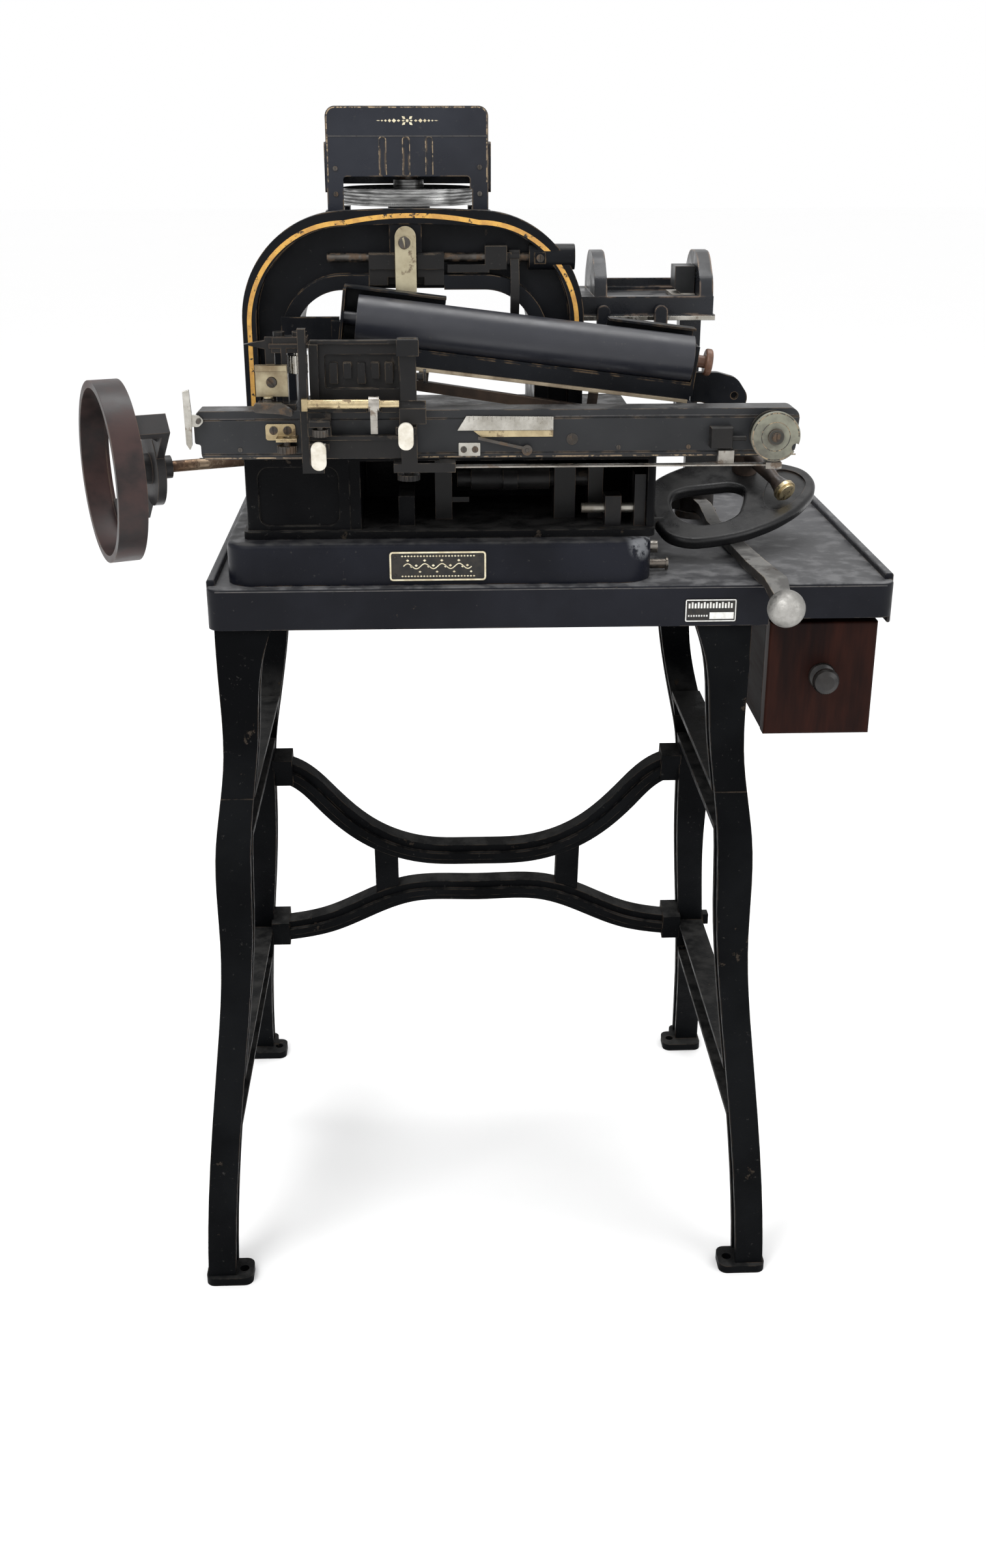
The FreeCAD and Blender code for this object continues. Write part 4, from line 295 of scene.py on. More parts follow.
def wheel_spider(look):
    """1 on the handwheel's spider, 0 on its hoop."""
    near = HAND_HOOP_NEAR - 0.0004
    along, out = look.reach(HAND_ENTRY, HAND_AXIS)
    inner = look.step(out, HAND_HOOP_INSIDE - 0.001, HAND_HOOP_INSIDE, 1.0, 0.0)
    return look.calc("MAXIMUM", inner, look.step(along, near - 0.0002, near, 1.0, 0.0))


def drum_hub(look):
    """1 on the drum's hub and on everything behind its front flange."""
    back, out = look.reach(DRUM_CENTRE, (0.0, 1.0, 0.0))
    hub = look.step(out, DRUM_HUB_R, DRUM_HUB_R + 0.0008, 1.0, 0.0)
    return look.calc("MAXIMUM", hub, look.step(back, DRUM_FLANGE, DRUM_FLANGE + 0.0004))


def pusher_block(look):
    """1 on the black block, 0 on the nickel slide under it."""
    return look.step(look.along("Z"), PUSHER_SLIDE_TOP, PUSHER_SLIDE_TOP + 0.0003)


def cross_pin(look):
    """1 on the bright pin through the bearing posts, 0 on the posts."""
    out = look.reach(CROSS_PIN, (1.0, 0.0, 0.0))[1]
    return look.step(out, CROSS_PIN_R, CROSS_PIN_R + 0.0002, 1.0, 0.0)


def bracket_plate(look):
    """1 on the brass plate of the rail's left bracket."""
    height = look.along("Z")
    low, high = BRACKET_PLATE_Z
    over = look.step(height, low, low + 0.0005)
    under = look.step(height, high, high + 0.0005, 1.0, 0.0)
    front = look.step(look.along("Y"), BRACKET_PLATE_BACK, BRACKET_PLATE_BACK + 0.0002, 1.0, 0.0)
    return look.calc("MULTIPLY", look.calc("MULTIPLY", over, under), front)


def trough_edge(look):
    """1 on the trough's bright edge strip, 0 on the guide bar that hangs below it along the same slope."""
    level = look.calc("ADD", look.along("Z"), look.calc("MULTIPLY", look.along("X"), TUBE_SLOPE))
    return look.step(level, TROUGH_EDGE_LEVEL, TROUGH_EDGE_LEVEL + 0.0004)


def grooved_steel(name):
    """The type wheel's stack of bright discs, seen edge on as fine level lines, with painted shade in the gaps
    between them.
    """
    look = Look(name)
    layer = look.calc("FRACT", look.calc("MULTIPLY", look.along("Z"), 1.0 / TYPE_DISC_PITCH), 0.5)
    # Painted shade: the gaps between the discs are drawn dark.
    painted_gap_shade = look.calc("MAXIMUM", look.step(layer, 0.0, 0.22, 1.0, 0.0), look.step(layer, 0.80, 0.98))
    streak = look.noise(30.0, 4.0, 0.6, (1.0, 1.0, 6.0))
    color = look.blend(look.step(streak, 0.34, 0.66), (0.60, 0.60, 0.59), (0.16, 0.16, 0.16))
    color = look.blend(look.calc("MULTIPLY", painted_gap_shade, 0.85), color, (0.02, 0.02, 0.02))
    look.surface(layer, 0.00012, 0.0003)
    return look.finish(color, look.step(streak, 0.3, 0.7, 0.24, 0.42), 0.85)


BLACK = enamel("black_enamel", (0.0032, 0.0035, 0.0045), (0.008, 0.009, 0.0115), dust_and_sheen=0.35, shine=0.10)
BASE_PAINT = enamel("base_enamel", (0.0030, 0.0034, 0.0058), (0.0080, 0.0088, 0.0135), dust_and_sheen=0.42, shine=0.12,
                    bare_corner=BASE_BARE_CORNER)
# Painted shade: the black enamel made darker to offset the key light on the body casting; the rail brackets share it.
SHADED_BODY_PAINT = enamel("body_enamel_painted_shade", (0.0014, 0.0015, 0.0020), (0.0045, 0.0046, 0.0052), wear=(0.045, 0.040, 0.034),
                    dust_and_sheen=0.3, shine=0.05, grit=0.0004, chips=0.64)
FRAME_PAINT = enamel("frame_enamel", (0.0016, 0.0018, 0.0022), (0.0048, 0.0053, 0.0060), wear=(0.06, 0.046, 0.035),
                     dust_and_sheen=0.3, grit=0.0006, chips=0.66, rough=(0.38, 0.62), shine=0.03)
HOOD_PAINT = enamel("hood_enamel", (0.0060, 0.0070, 0.0115), (0.013, 0.015, 0.022), wear=(0.28, 0.20, 0.12), dust_and_sheen=0.5,
                    wear_reach=0.0022, rough=(0.25, 0.45), chips=0.74, shine=0.30)
DARK_PARTS = enamel("oily_black_parts", (0.0045, 0.0045, 0.0050), (0.012, 0.011, 0.0105), wear=(0.17, 0.13, 0.09),
                    wear_reach=0.0011, dust_and_sheen=0.3, chips=0.64, rough=(0.3, 0.55), shine=0.2)
RAIL_PAINT = enamel("rail_enamel", (0.0075, 0.0080, 0.0095), (0.016, 0.017, 0.019), wear=(0.16, 0.12, 0.085),
                    dust_and_sheen=0.45, rough=(0.28, 0.5), chips=0.70, shine=0.33)
DIAL_PAINT = enamel("dial_enamel", (0.0040, 0.0042, 0.0050), (0.010, 0.010, 0.0105), wear=(0.10, 0.07, 0.05),
                    dust_and_sheen=0.22, grit=0.0003, rough=(0.24, 0.42), chips=0.70, shine=0.25)
HOPPER_PAINT = enamel("hopper_enamel", (0.0060, 0.0068, 0.0090), (0.015, 0.017, 0.022), wear=(0.26, 0.19, 0.14),
                      wear_reach=0.0030, dust_and_sheen=0.3, rough=(0.24, 0.45), chips=0.72, shine=0.32)
# The grey on the table top is partly dust and partly a painted reflection of the light at this grazing view.
TABLE_PAINT_DUST_AND_SHEEN = enamel("table_enamel_dust_and_sheen", (0.0030, 0.0034, 0.0056), (0.0085, 0.0092, 0.0135), dust_and_sheen=0.95, shine=0.13,
                     dust_and_sheen_color=(0.135, 0.135, 0.138), wear=(0.12, 0.10, 0.08), rough=(0.3, 0.5))
LEVER_PAINT = enamel("lever_finish", (0.008, 0.008, 0.008), (0.024, 0.019, 0.016), wear=(0.30, 0.26, 0.21), dust_and_sheen=1.3,
                     wear_reach=0.0022, chips=0.58, rough=(0.3, 0.5), shine=0.3, dust_and_sheen_color=(0.15, 0.147, 0.14))
TUBE_PAINT = enamel("tube_enamel", (0.0110, 0.0120, 0.0170), (0.017, 0.018, 0.024), wear=(0.10, 0.09, 0.08),
                    dust_and_sheen=0.12, chips=0.74, rough=(0.30, 0.42), grit=0.00004, shine=0.5)
STEEL = metal("worn_steel", (0.46, 0.44, 0.40), (0.17, 0.15, 0.13), stain=0.46)
DULL_STEEL = metal("dull_steel", (0.12, 0.11, 0.10), (0.045, 0.040, 0.036), stain=0.50, rough=(0.35, 0.6))
RUSTY = metal("rusty_shaft", (0.40, 0.31, 0.22), (0.13, 0.075, 0.045), stain=0.50, stain_color=(0.055, 0.026, 0.014),
              rough=(0.35, 0.6), grit=0.0001)
NICKEL = metal("dull_nickel", (0.62, 0.60, 0.55), (0.30, 0.28, 0.24), stain=0.40, rough=(0.18, 0.38))
BRASS = metal("tarnished_brass", (0.60, 0.50, 0.31), (0.30, 0.23, 0.13), stain=0.46, rough=(0.24, 0.45))
STRAP_BRASS = metal("strap_brass", (0.52, 0.47, 0.33), (0.27, 0.22, 0.14), stain=0.44, rough=(0.3, 0.5))
CAST_BALL = metal("cast_ball", (0.40, 0.39, 0.37), (0.25, 0.245, 0.23), stain=0.34, stain_color=(0.16, 0.15, 0.13),
                  rough=(0.45, 0.7), grit=0.0004)
WHEEL_STEEL = grooved_steel("type_wheel_steel")
MAHOGANY = wood("drawer_mahogany", (0.0052, 0.0022, 0.0020), (0.0270, 0.0078, 0.0048), (14.0, 14.0, 1.6),
                (0.45, 0.65))
MAHOGANY_SIDE = wood("case_mahogany", (0.0034, 0.0020, 0.0020), (0.0110, 0.0046, 0.0038), (14.0, 1.6, 14.0),
                     (0.6, 0.8))
BLACK_WOOD = plain("knob_black", (0.0045, 0.0042, 0.0042), (0.012, 0.010, 0.009), (0.25, 0.45), 50.0,
                   wear=(0.05, 0.032, 0.022))
HAND_FINISH = two_zone("handwheel_finish", wheel_spider, ((0.0085, 0.0050, 0.0050), (0.031, 0.0140, 0.0125)),
                       ((0.0045, 0.0045, 0.0055), (0.014, 0.012, 0.012)), (0.34, 0.52), 0.32)
DRUM_FINISH = two_zone("drum_finish", drum_hub, ((0.19, 0.19, 0.145), (0.060, 0.056, 0.045)),
                       ((0.008, 0.009, 0.008), (0.028, 0.026, 0.020)), (0.35, 0.55), 0.4)
PUSHER_FINISH = two_zone("pusher_finish", pusher_block, ((0.55, 0.53, 0.48), (0.25, 0.23, 0.20)),
                         ((0.005, 0.0055, 0.006), (0.014, 0.014, 0.015)), (0.3, 0.5), 0.25, (0.9, 0.0))
LIP_FINISH = two_zone("lip_finish", trough_edge, ((0.010, 0.0075, 0.0060), (0.034, 0.021, 0.014)),
                      ((0.42, 0.35, 0.25), (0.17, 0.13, 0.09)), (0.35, 0.6), 0.2, (0.0, 0.8))
POST_FINISH = two_zone("post_finish", cross_pin, ((0.0040, 0.0040, 0.0045), (0.011, 0.010, 0.0095)),
                       ((0.55, 0.53, 0.48), (0.22, 0.20, 0.17)), (0.3, 0.5), 0.2, (0.0, 0.95))
BRACKET_FINISH = two_zone("bracket_finish", bracket_plate, ((0.0045, 0.0045, 0.0050), (0.012, 0.011, 0.0105)),
                          ((0.46, 0.40, 0.27), (0.20, 0.15, 0.09)), (0.3, 0.5), 0.2, (0.0, 0.9))
SELECTOR_FINISH = plain("selector_bare_brown", (0.014, 0.011, 0.010), (0.060, 0.042, 0.032), (0.28, 0.5), 40.0,
                        wear=(0.14, 0.10, 0.07))
IVORY = plain("key_ivory", (0.64, 0.61, 0.54), (0.46, 0.42, 0.34), (0.28, 0.45), 90.0)
BROWN = plain("brown_knob", (0.16, 0.080, 0.050), (0.07, 0.035, 0.022), (0.3, 0.5), 90.0)
CREAM = plain("plate_cream", (0.74, 0.68, 0.50), (0.52, 0.45, 0.30), (0.35, 0.55), 150.0)
WHITE = plain("label_white", (0.78, 0.78, 0.75), (0.58, 0.57, 0.54), (0.4, 0.6), 150.0)
PLATE_BLACK = plain("plate_black", (0.006, 0.006, 0.006), (0.018, 0.015, 0.012), (0.3, 0.5), 150.0)
GOLD = thin_line("gold_line", (0.64, 0.36, 0.075), (0.46, 0.24, 0.06), 0.56)
WORN_LINE = thin_line("worn_line", (0.30, 0.22, 0.13), (0.15, 0.11, 0.075), 0.47, 0.0)
FAINT_LINE = thin_line("faint_line", (0.055, 0.050, 0.048), (0.030, 0.030, 0.031), 0.55, 0.0)

FINISH = {
    "table_top": TABLE_PAINT_DUST_AND_SHEEN, "left_side_frame": FRAME_PAINT, "right_side_frame": FRAME_PAINT,
    "stretcher": FRAME_PAINT, "frame_bolts": FRAME_PAINT, "drawer_case": MAHOGANY_SIDE, "drawer_box": MAHOGANY_SIDE,
    "drawer_front": MAHOGANY, "drawer_knob": BLACK_WOOD, "machine_base": BASE_PAINT, "nameplates": PLATE_BLACK,
    "base_pins": STEEL, "body_casting": SHADED_BODY_PAINT, "arch_frame": BLACK, "top_cover": HOOD_PAINT,
    "type_wheel": WHEEL_STEEL, "guide_block": DARK_PARTS, "ram_link": STRAP_BRASS, "ram_punch": DULL_STEEL,
    "rock_shaft": DULL_STEEL, "crank_arm": DARK_PARTS, "main_shaft": DARK_PARTS, "shaft_bearings": POST_FINISH,
    "handwheel": HAND_FINISH, "handwheel_shaft": RUSTY, "lever_arm": LEVER_PAINT, "lever_ball": CAST_BALL,
    "pivot_pins": DULL_STEEL, "dial_plate": DIAL_PAINT, "selector_arm": SELECTOR_FINISH,
    "selector_ferrule": BRASS, "rail": RAIL_PAINT, "rail_brackets": SHADED_BODY_PAINT, "scale_plates": NICKEL,
    "brass_plates": BRASS, "slotted_screws": DULL_STEEL,
    "tension_tape": STEEL, "spring_drum": DRUM_FINISH, "latch_block": DARK_PARTS, "scale_pawl": DULL_STEEL,
    "end_latch": NICKEL, "carriage_frame": DARK_PARTS, "plate_window": DARK_PARTS, "brass_rod": BRASS,
    "pin_lever": STEEL, "left_key": IVORY, "right_key": IVORY, "stop_knob": DULL_STEEL, "clamp_knob": DARK_PARTS,
    "rail_knob": DULL_STEEL, "side_bracket": BRACKET_FINISH, "knurled_knob": NICKEL, "side_lever": DULL_STEEL,
    "feed_tube": TUBE_PAINT, "tube_knob": BROWN, "tube_trough": BLACK, "trough_lip": LIP_FINISH,
    "tube_brackets": BLACK, "hopper_frame": HOPPER_PAINT, "hopper_pusher": PUSHER_FINISH,
}
for node_name, finish in FINISH.items():
    thing = NODES[node_name]
    thing.data.materials.clear()
    thing.data.materials.append(finish)


# ---------------------------------------------------------------- mesh helpers (millimetres in, metres out)
CREASE_ANGLE = math.radians(32.0)
TO_FRONT = (0.0, -1.0, 0.0)
# a screw head: half the slot and the domed top as shares of its radius,
# the floor of the slot as shares of its radius and height
SLOT_SHARE, DOME_SHARE = 0.17, 0.86
SLOT_FLOOR_R_SHARE, SLOT_FLOOR_SHARE = 0.97, 0.35
HALF_HEAD_STEPS = 12


def piece(name, mesh_builder, finish, body, smooth=True):
    """Turns a bmesh in millimetres into a named piece that rides on a body."""
    bm = bmesh.new()
    mesh_builder(bm)
    bmesh.ops.recalc_face_normals(bm, faces=bm.faces)
    bmesh.ops.scale(bm, vec=(MM, MM, MM), verts=bm.verts)
    mesh = bpy.data.meshes.new(name)
    bm.to_mesh(mesh)
    bm.free()
    obj = bpy.data.objects.new(name, mesh)
    bpy.context.scene.collection.objects.link(obj)
    mesh.materials.append(finish)
    if smooth:
        mesh.shade_smooth()
        split = obj.modifiers.new("creases", "EDGE_SPLIT")
        split.split_angle = CREASE_ANGLE
    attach(obj, body)


def add_box(bm, x, y, z):
    """A box between the two values of each of x, y and z."""
    corners = [(a, b, c) for a in x for b in y for c in z]
    verts = [bm.verts.new(p) for p in corners]
    for quad in ((0, 1, 3, 2), (4, 6, 7, 5), (0, 4, 5, 1), (2, 3, 7, 6), (0, 2, 6, 4), (1, 5, 7, 3)):
        bm.faces.new([verts[i] for i in quad])


def add_lathe(bm, profile, origin, axis, sides):
    """Revolves (radius, height) points about an axis through origin."""
    axis = Vector(axis).normalized()
    side = axis.orthogonal().normalized()
    other = axis.cross(side)
    rings = []
    for radius, height in profile:
        centre = Vector(origin) + axis * height
        if radius < 1e-6:
            rings.append([bm.verts.new(centre)])
            continue
        ring = []
        for i in range(sides):
            angle = 2.0 * math.pi * i / sides
            ring.append(bm.verts.new(centre + (side * math.cos(angle) + other * math.sin(angle)) * radius))
        rings.append(ring)
    for first, second in zip(rings, rings[1:]):
        for i in range(sides):
            j = (i + 1) % sides
            if len(first) == 1 and len(second) > 1:
                bm.faces.new((first[0], second[i], second[j]))
            elif len(second) == 1 and len(first) > 1:
                bm.faces.new((first[i], second[0], first[j]))
            elif len(first) > 1:
                bm.faces.new((first[i], second[i], second[j], first[j]))


def face_vert(bm, point, depth):
    """A vertex at (x, z) in the plane y = depth."""
    return bm.verts.new((point[0], depth, point[1]))


def add_ribbon(bm, line, width, depth, thick, closed=False):
    """A raised line of constant width through (x, z) points; thick is how far it stands off towards the front."""
    count = len(line)
    left, right = [], []
    for i, (u, v) in enumerate(line):
        before = line[i - 1] if closed or i else line[0]
        after = line[(i + 1) % count] if closed or i < count - 1 else line[-1]
        way = Vector((after[0] - before[0], after[1] - before[1])).normalized()
        left.append((u - way.y * width / 2.0, v + way.x * width / 2.0))
        right.append((u + way.y * width / 2.0, v - way.x * width / 2.0))
    back, front = depth, depth - thick
    rows = [[face_vert(bm, point, level) for level in (back, front)] for point in left]
    for row, point in zip(rows, right):
        row += [face_vert(bm, point, level) for level in (front, back)]
    for i in range(count if closed else count - 1):
        a, b = rows[i], rows[(i + 1) % count]
        for k in range(4):
            bm.faces.new((a[k], b[k], b[(k + 1) % 4], a[(k + 1) % 4]))
    if not closed:
        bm.faces.new(rows[0])
        bm.faces.new(rows[-1])


def arc(centre, radius, start, end, steps):
    """Points on a circle, angles in degrees."""
    points = []
    for i in range(steps + 1):
        angle = math.radians(start + (end - start) * i / steps)
        points.append((centre[0] + radius * math.cos(angle), centre[1] + radius * math.sin(angle)))
    return points


def screw_head(bm, centre, radius, height):
    """A domed slotted screw head that faces the front, its slot at a random turn."""
    direction = Vector(TO_FRONT)
    side = direction.orthogonal().normalized()
    other = direction.cross(side)
    turn = random.uniform(0.0, math.pi)
    side, other = side * math.cos(turn) + other * math.sin(turn), other * math.cos(turn) - side * math.sin(turn)
    centre = Vector(centre)
    gap = radius * SLOT_SHARE
    for sign in (1.0, -1.0):
        rim = []
        start = math.asin(gap / radius)
        for i in range(HALF_HEAD_STEPS + 1):
            angle = start + (math.pi - 2.0 * start) * i / HALF_HEAD_STEPS
            rim.append((math.cos(angle) * radius, sign * math.sin(angle) * radius))
        base = [bm.verts.new(centre + side * a + other * b) for a, b in rim]
        slot_shift = sign * gap * (1.0 - DOME_SHARE)
        top = [bm.verts.new(centre + side * a * DOME_SHARE + other * (b * DOME_SHARE + slot_shift)
                            + direction * height) for a, b in rim]
        for i in range(HALF_HEAD_STEPS):
            bm.faces.new((base[i], base[i + 1], top[i + 1], top[i]))
        bm.faces.new((base[-1], base[0], top[0], top[-1]))
        bm.faces.new(top)
    inner, floor = radius * SLOT_FLOOR_R_SHARE, height * SLOT_FLOOR_SHARE
    add_lathe(bm, [(0.0, 0.0), (inner, 0.0), (inner, floor), (0.0, floor)], centre, direction, 24)


def add_patch(bm, points, depth, thick=0.2):
    """A flat raised shape with its corners at (x, z) points; thick is how far it stands off towards the front."""
    back = [face_vert(bm, point, depth) for point in points]
    front = [face_vert(bm, point, depth - thick) for point in points]
    bm.faces.new(front)
    bm.faces.new(back)
    count = len(points)
    for i in range(count):
        j = (i + 1) % count
        bm.faces.new((back[i], back[j], front[j], front[i]))


def bar(left, low, width, top):
    """The corners of an upright rectangle."""
    return [(left, low), (left + width, low), (left + width, top), (left, top)]


def diamond(u, v, width, height):
    """The four corners of a diamond about (u, v)."""
    return [(u - width / 2.0, v), (u, v + height / 2.0), (u + width / 2.0, v), (u, v - height / 2.0)]


def rounded_box(u, v, radius):
    """A closed line round a rectangle with rounded corners."""
    line = []
    for cu, cv, start in ((u[1] - radius, v[1] - radius, 0.0), (u[0] + radius, v[1] - radius, 90.0),
                          (u[0] + radius, v[0] + radius, 180.0), (u[1] - radius, v[0] + radius, 270.0)):
        line += arc((cu, cv), radius, start, start + 90.0, 5)
    return line


# ---------------------------------------------------------------- arch line and hood, in millimetres
ARCH_FACE = -100.0
ARCH_CORNER_R = 96.0
ARCH_SHOULDER = 1066.5
ARCH_CROWN = 6.0
ARCH_LINE_INSET = 6.4
ARCH_LINE_WIDTH = 4.1
ARCH_LINE_FOOT = (880.0, 930.0)
HOOD_FACE = -50.0
HOOD_X = (-139.0, 9.0)
HOOD_TOP = 1157.0
HOOD_EDGE_INSET = 1.3
HOOD_CORNER_R = 7.5
HOOD_EDGE_FOOT = (1092.0, 1120.0)
FOLD_X = (-137.0, 7.5)
FOLD_LEVEL = 1131.5
FLUTES_X = (-87.5, -66.0, -45.0)
FLUTE_R = 3.2
FLUTE_Z = (1098.5, 1128.0)
ORNAMENT_CENTRE = (-64.5, 1144.5)
PETAL_TURNS = (38.0, 142.0, 218.0, 322.0)
# offset from the flower, width and height of each leaf
ORNAMENT_LEAVES = ((3.6, 3.0, 1.6), (7.8, 3.4, 2.2), (12.0, 4.0, 3.6), (16.0, 3.2, 3.0),
                   (19.6, 2.6, 2.2), (22.8, 2.2, 1.6), (26.2, 4.0, 0.8))
LINK_SCREW = (-68.3, -110.6, 1043.5)


def arch_stripe(bm):
    """The gold line that follows the outer edge of the arch's front face."""
    low, high = [Vector(corner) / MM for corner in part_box("arch_frame")]
    inset = ARCH_LINE_INSET
    radius = ARCH_CORNER_R - inset
    left, right, shoulder = low.x + inset, high.x - inset, ARCH_SHOULDER - inset
    line = [(left, ARCH_LINE_FOOT[0]), (left, ARCH_LINE_FOOT[1])]
    line += arc((left + radius, shoulder - radius), radius, 180.0, 94.0, 22)
    middle, half = (left + right) / 2.0, (right - left) / 2.0 - radius
    for i in range(13):
        share = -1.0 + i / 6.0
        line.append((middle + half * share, shoulder + ARCH_CROWN * (1.0 - share * share)))
    line += arc((right - radius, shoulder - radius), radius, 86.0, 0.0, 22)
    line += [(right, ARCH_LINE_FOOT[1])]
    add_ribbon(bm, line, ARCH_LINE_WIDTH, ARCH_FACE, 0.3)


def hood_ornament(bm):
    """A small painted flourish: a four-petal flower between two tapering rows of leaves."""
    u, v = ORNAMENT_CENTRE
    add_patch(bm, arc((u, v), 1.3, 0.0, 337.5, 15), HOOD_FACE)
    for turn in PETAL_TURNS:
        way = Vector((math.cos(math.radians(turn)), math.sin(math.radians(turn))))
        side = Vector((-way.y, way.x))
        petal = [way * 1.9, way * 4.0 + side * 1.3, way * 6.2, way * 4.0 - side * 1.3]
        add_patch(bm, [(u + point.x, v + point.y) for point in petal], HOOD_FACE)
    for sign in (-1.0, 1.0):
        for offset, width, height in ORNAMENT_LEAVES:
            add_patch(bm, diamond(u + sign * offset, v, width, height), HOOD_FACE)


def hood_worn_edges(bm):
    """Paint rubbed off along the hood's sides and top."""
    inset, radius = HOOD_EDGE_INSET, HOOD_CORNER_R
    left, right, top = HOOD_X[0] + inset, HOOD_X[1] - inset, HOOD_TOP - inset
    foot, shoulder = HOOD_EDGE_FOOT
    line = [(left, foot), (left, shoulder)] + arc((left + radius, top - radius), radius, 180.0, 90.0, 6)
    line += arc((right - radius, top - radius), radius, 90.0, 0.0, 6) + [(right, shoulder), (right, foot)]
    add_ribbon(bm, line, 1.1, HOOD_FACE, 0.12)


def hood_fold(bm):
    """The top edge of the lapped lower sheet."""
    add_ribbon(bm, [(u, FOLD_LEVEL) for u in FOLD_X], 0.9, HOOD_FACE, 0.5)


def hood_flute_lips(bm):
    """The worn lips of the three pressed flutes in the lapped sheet."""
    low, high = FLUTE_Z
    for u in FLUTES_X:
        line = [(u - FLUTE_R, low), (u - FLUTE_R, high)] + arc((u, high), FLUTE_R, 180.0, 0.0, 8)
        line += [(u + FLUTE_R, low)]
        add_ribbon(bm, line, 0.8, HOOD_FACE, 0.3)


def link_screw(bm):
    """The screw that holds the brass link to the ram."""
    screw_head(bm, LINK_SCREW, 5.6, 2.2)


piece("arch_gold_line", arch_stripe, GOLD, "press_frame", smooth=False)
piece("hood_ornament", hood_ornament, CREAM, "press_frame", smooth=False)
piece("hood_worn_edges", hood_worn_edges, WORN_LINE, "press_frame", smooth=False)
piece("hood_fold", hood_fold, FAINT_LINE, "press_frame", smooth=False)
piece("hood_flute_lips", hood_flute_lips, WORN_LINE, "press_frame", smooth=False)
piece("link_screw", link_screw, DULL_STEEL, "ram")

# ---------------------------------------------------------------- nameplate and stock label, in millimetres
PLATE_U, PLATE_V, PLATE_FACE = (-87.0, 2.0), (754.0, 782.0), -191.2
LABEL_U, LABEL_V, LABEL_FACE = (185.0, 233.0), (715.0, 737.0), -200.8


def plate_border(bm):
    """The cream line round the nameplate."""
    inset = 1.2
    u, v = [(pair[0] + inset, pair[1] - inset) for pair in (PLATE_U, PLATE_V)]
    add_ribbon(bm, rounded_box(u, v, 2.4), 1.5, PLATE_FACE, 0.2, closed=True)


def plate_pattern(bm):
    """A waving stem with leaves between two rows of beads."""
    depth = PLATE_FACE + 0.4
    middle_v = sum(PLATE_V) / 2.0
    stem = []
    for i in range(49):
        u = PLATE_U[0] + 13.0 + i * 1.3
        stem.append((u, middle_v + 2.4 * math.sin(i * 0.52)))
    add_ribbon(bm, stem, 0.9, depth, 0.3)
    for i in range(3, 46, 6):
        u, v = stem[i]
        add_patch(bm, diamond(u, v + 3.0, 3.0, 2.4), depth, 0.3)
        add_patch(bm, diamond(u + 3.4, v - 2.8, 2.6, 2.0), depth, 0.3)
    for v in (PLATE_V[0] + 4.6, PLATE_V[1] - 4.6):
        for i in range(24):
            u = PLATE_U[0] + 12.0 + i * 2.85
            add_patch(bm, diamond(u, v, 2.2, 1.7), depth, 0.3)


def label_marks(bm):
    """A printed border, two rows of bars and a blank box."""
    inset = 1.0
    u, v = [(pair[0] + inset, pair[1] - inset) for pair in (LABEL_U, LABEL_V)]
    add_ribbon(bm, rounded_box(u, v, 1.0), 1.0, LABEL_FACE, 0.12, closed=True)
    add_patch(bm, bar(208.0, 717.8, 22.5, 724.2), LABEL_FACE, 0.12)
    for i in range(15):
        left = LABEL_U[0] + 3.2 + i * 2.8
        top = 732.8 + 1.2 * (i % 2)
        add_patch(bm, bar(left, 728.2, 1.7, top), LABEL_FACE, 0.12)
    for i in range(8):
        left = LABEL_U[0] + 3.0 + i * 2.4
        add_patch(bm, bar(left, 720.2, 1.4, 721.8), LABEL_FACE, 0.12)


piece("nameplate_border", plate_border, CREAM, "press_frame", smooth=False)
piece("nameplate_pattern", plate_pattern, CREAM, "press_frame", smooth=False)
piece("stock_label_marks", label_marks, WHITE, "press_frame", smooth=False)

# ---------------------------------------------------------------- rail, drum, table and hopper, in millimetres
RAIL_FACE = -208.0
RAIL_EDGE_X, RAIL_EDGE_LEVEL = (-250.0, 276.0), 871.2
RAIL_SCRATCHES = (((62.0, 906.0), (170.0, 906.4), (272.0, 906.0)), ((-248.0, 905.0), (-200.0, 905.2)))
DRUM_FACE = -229.0
DRUM_FACE_CENTRE = (253.0, 890.5)
DRUM_STEP_R, DRUM_RIM_R = 12.5, 20.3
DRUM_SCREW = (253.0, -231.5, 890.5)
BRACKET_SCREW = (-185.0, -195.0, 934.5)
TABLE_FACE = -200.0
TABLE_EDGE_X, TABLE_EDGE_LEVEL = (-246.0, 372.0), 747.6
LEDGE_STRIP = ((88.0, 224.5), (-52.5, -52.0), (968.7, 972.6))


def rail_edge(bm):
    """The paint-worn lower edge of the rail's face."""
    add_ribbon(bm, [(u, RAIL_EDGE_LEVEL) for u in RAIL_EDGE_X], 1.2, RAIL_FACE, 0.12)


def rail_scratch(bm):
    """Level scratches across the rail's face."""
    for line in RAIL_SCRATCHES:
        add_ribbon(bm, line, 0.7, RAIL_FACE, 0.1)


def drum_rings(bm):
    """The turned step and the rubbed rim of the drum's front flange."""
    add_ribbon(bm, arc(DRUM_FACE_CENTRE, DRUM_STEP_R, 0.0, 352.5, 47), 0.6, DRUM_FACE, 0.1, closed=True)
    add_ribbon(bm, arc(DRUM_FACE_CENTRE, DRUM_RIM_R, 0.0, 318.0, 47), 0.8, DRUM_FACE, 0.1)


def drum_screw(bm):
    """The screw in the end of the fixed stud that the drum turns on."""
    screw_head(bm, DRUM_SCREW, 3.6, 1.2)


def hopper_ledge_strip(bm):
    """The bright strip along the hopper's front ledge."""
    add_box(bm, *LEDGE_STRIP)


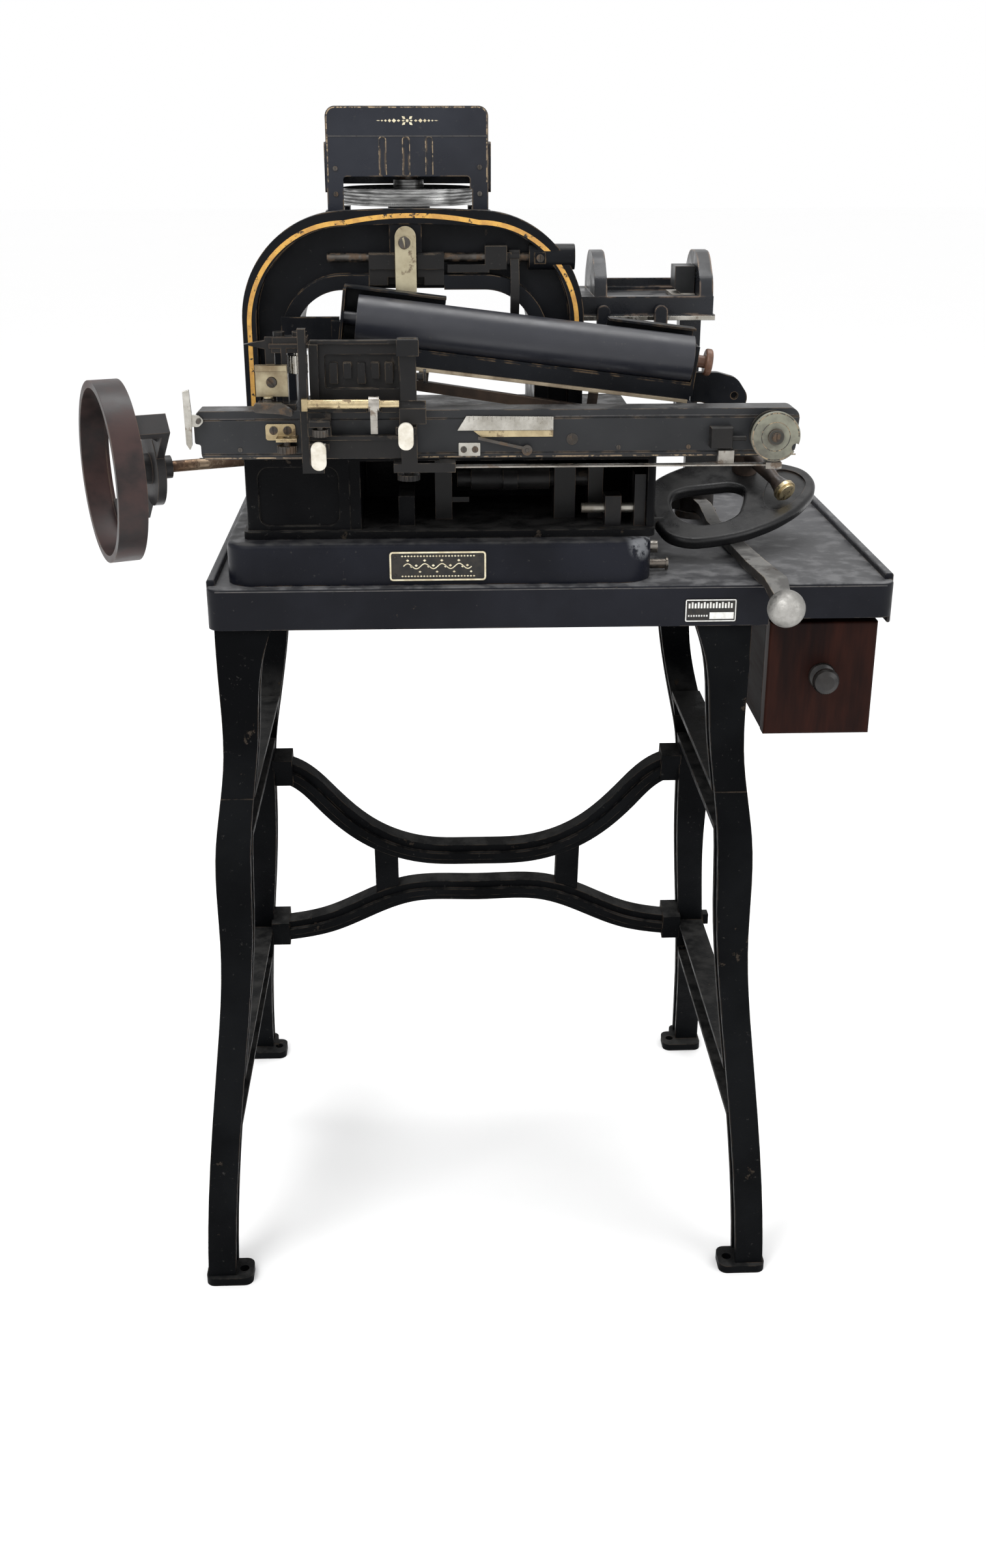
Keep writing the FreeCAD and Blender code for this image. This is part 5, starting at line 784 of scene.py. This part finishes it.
def table_rubbed_edge(bm):
    """Paint rubbed to grey along the upper front edge of the table's skirt."""
    add_ribbon(bm, [(u, TABLE_EDGE_LEVEL) for u in TABLE_EDGE_X], 1.0, TABLE_FACE, 0.1)


def bracket_screw(bm):
    """The screw in the brass plate of the rail's left bracket."""
    screw_head(bm, BRACKET_SCREW, 4.8, 2.0)


piece("bracket_plate_screw", bracket_screw, DULL_STEEL, "press_frame")
piece("table_rubbed_edge", table_rubbed_edge, FAINT_LINE, "press_frame", smooth=False)
piece("rail_worn_edge", rail_edge, WORN_LINE, "press_frame", smooth=False)
piece("rail_scratches", rail_scratch, FAINT_LINE, "press_frame", smooth=False)
piece("drum_rings", drum_rings, WORN_LINE, "drum", smooth=False)
piece("drum_screw", drum_screw, DULL_STEEL, "press_frame")
piece("hopper_ledge_strip", hopper_ledge_strip, NICKEL, "press_frame", smooth=False)


# ---------------------------------------------------------------- camera, floor and light
SENSOR_MM, LENS_MM = 36.0, 37.4
CAMERA_PLACE = (-0.0474, -1.6445, 1.154)
CAMERA_PITCH, CAMERA_YAW = -22.5, -2.18
FLOOR_SIZE = 40.0
FLOOR_TONES = ((0.985, 0.985, 0.985), (0.995, 0.995, 0.995))
WHITE_WORLD = (1.0, 1.0, 1.0, 1.0)
# name, place, what it faces, size in metres, watts
LAMPS = (("key", (-1.4, -1.8, 2.6), (0.0, 0.0, 0.85), (1.4, 1.4), 42.0),
         ("fill", (1.9, -1.4, 1.6), (0.0, 0.0, 0.8), (1.2, 1.6), 16.0),
         ("top", (0.2, 0.4, 2.9), (0.0, 0.0, 0.9), (1.6, 1.0), 26.0))


def set_camera():
    """The camera of the photograph, fitted over the frame's height."""
    data = bpy.data.cameras.new("camera")
    data.sensor_fit = "VERTICAL"
    data.sensor_height = SENSOR_MM
    data.sensor_width = SENSOR_MM
    data.lens = LENS_MM
    camera = bpy.data.objects.new("camera", data)
    bpy.context.scene.collection.objects.link(camera)
    camera.location = CAMERA_PLACE
    camera.rotation_euler = (math.radians(90.0 + CAMERA_PITCH), 0.0, math.radians(CAMERA_YAW))
    bpy.context.scene.camera = camera


def area_light(name, place, target, size, power):
    """A white rectangular lamp at place that faces target."""
    data = bpy.data.lights.new(name, "AREA")
    data.shape = "RECTANGLE"
    data.size, data.size_y = size
    data.energy = power
    lamp = bpy.data.objects.new(name, data)
    bpy.context.scene.collection.objects.link(lamp)
    lamp.location = place
    lamp.rotation_euler = (Vector(target) - Vector(place)).to_track_quat("-Z", "Y").to_euler()


def set_stage():
    """A near-white floor, a white world and three soft lamps, shown without a tone curve."""
    bpy.ops.mesh.primitive_plane_add(size=FLOOR_SIZE)
    floor = bpy.context.object
    floor.name = "floor"
    look = Look("floor")
    cloud = look.noise(1.2, 3.0)
    look.surface(cloud, 0.0002)
    floor.data.materials.append(look.finish(look.blend(cloud, *FLOOR_TONES), 0.85))
    world = bpy.data.worlds.new("studio")
    world.use_nodes = True
    sky = world.node_tree.nodes["Background"]
    sky.inputs["Color"].default_value = WHITE_WORLD
    sky.inputs["Strength"].default_value = 1.0
    bpy.context.scene.world = world
    bpy.context.scene.view_settings.view_transform = "Standard"
    for lamp in LAMPS:
        area_light(*lamp)


set_camera()
set_stage()
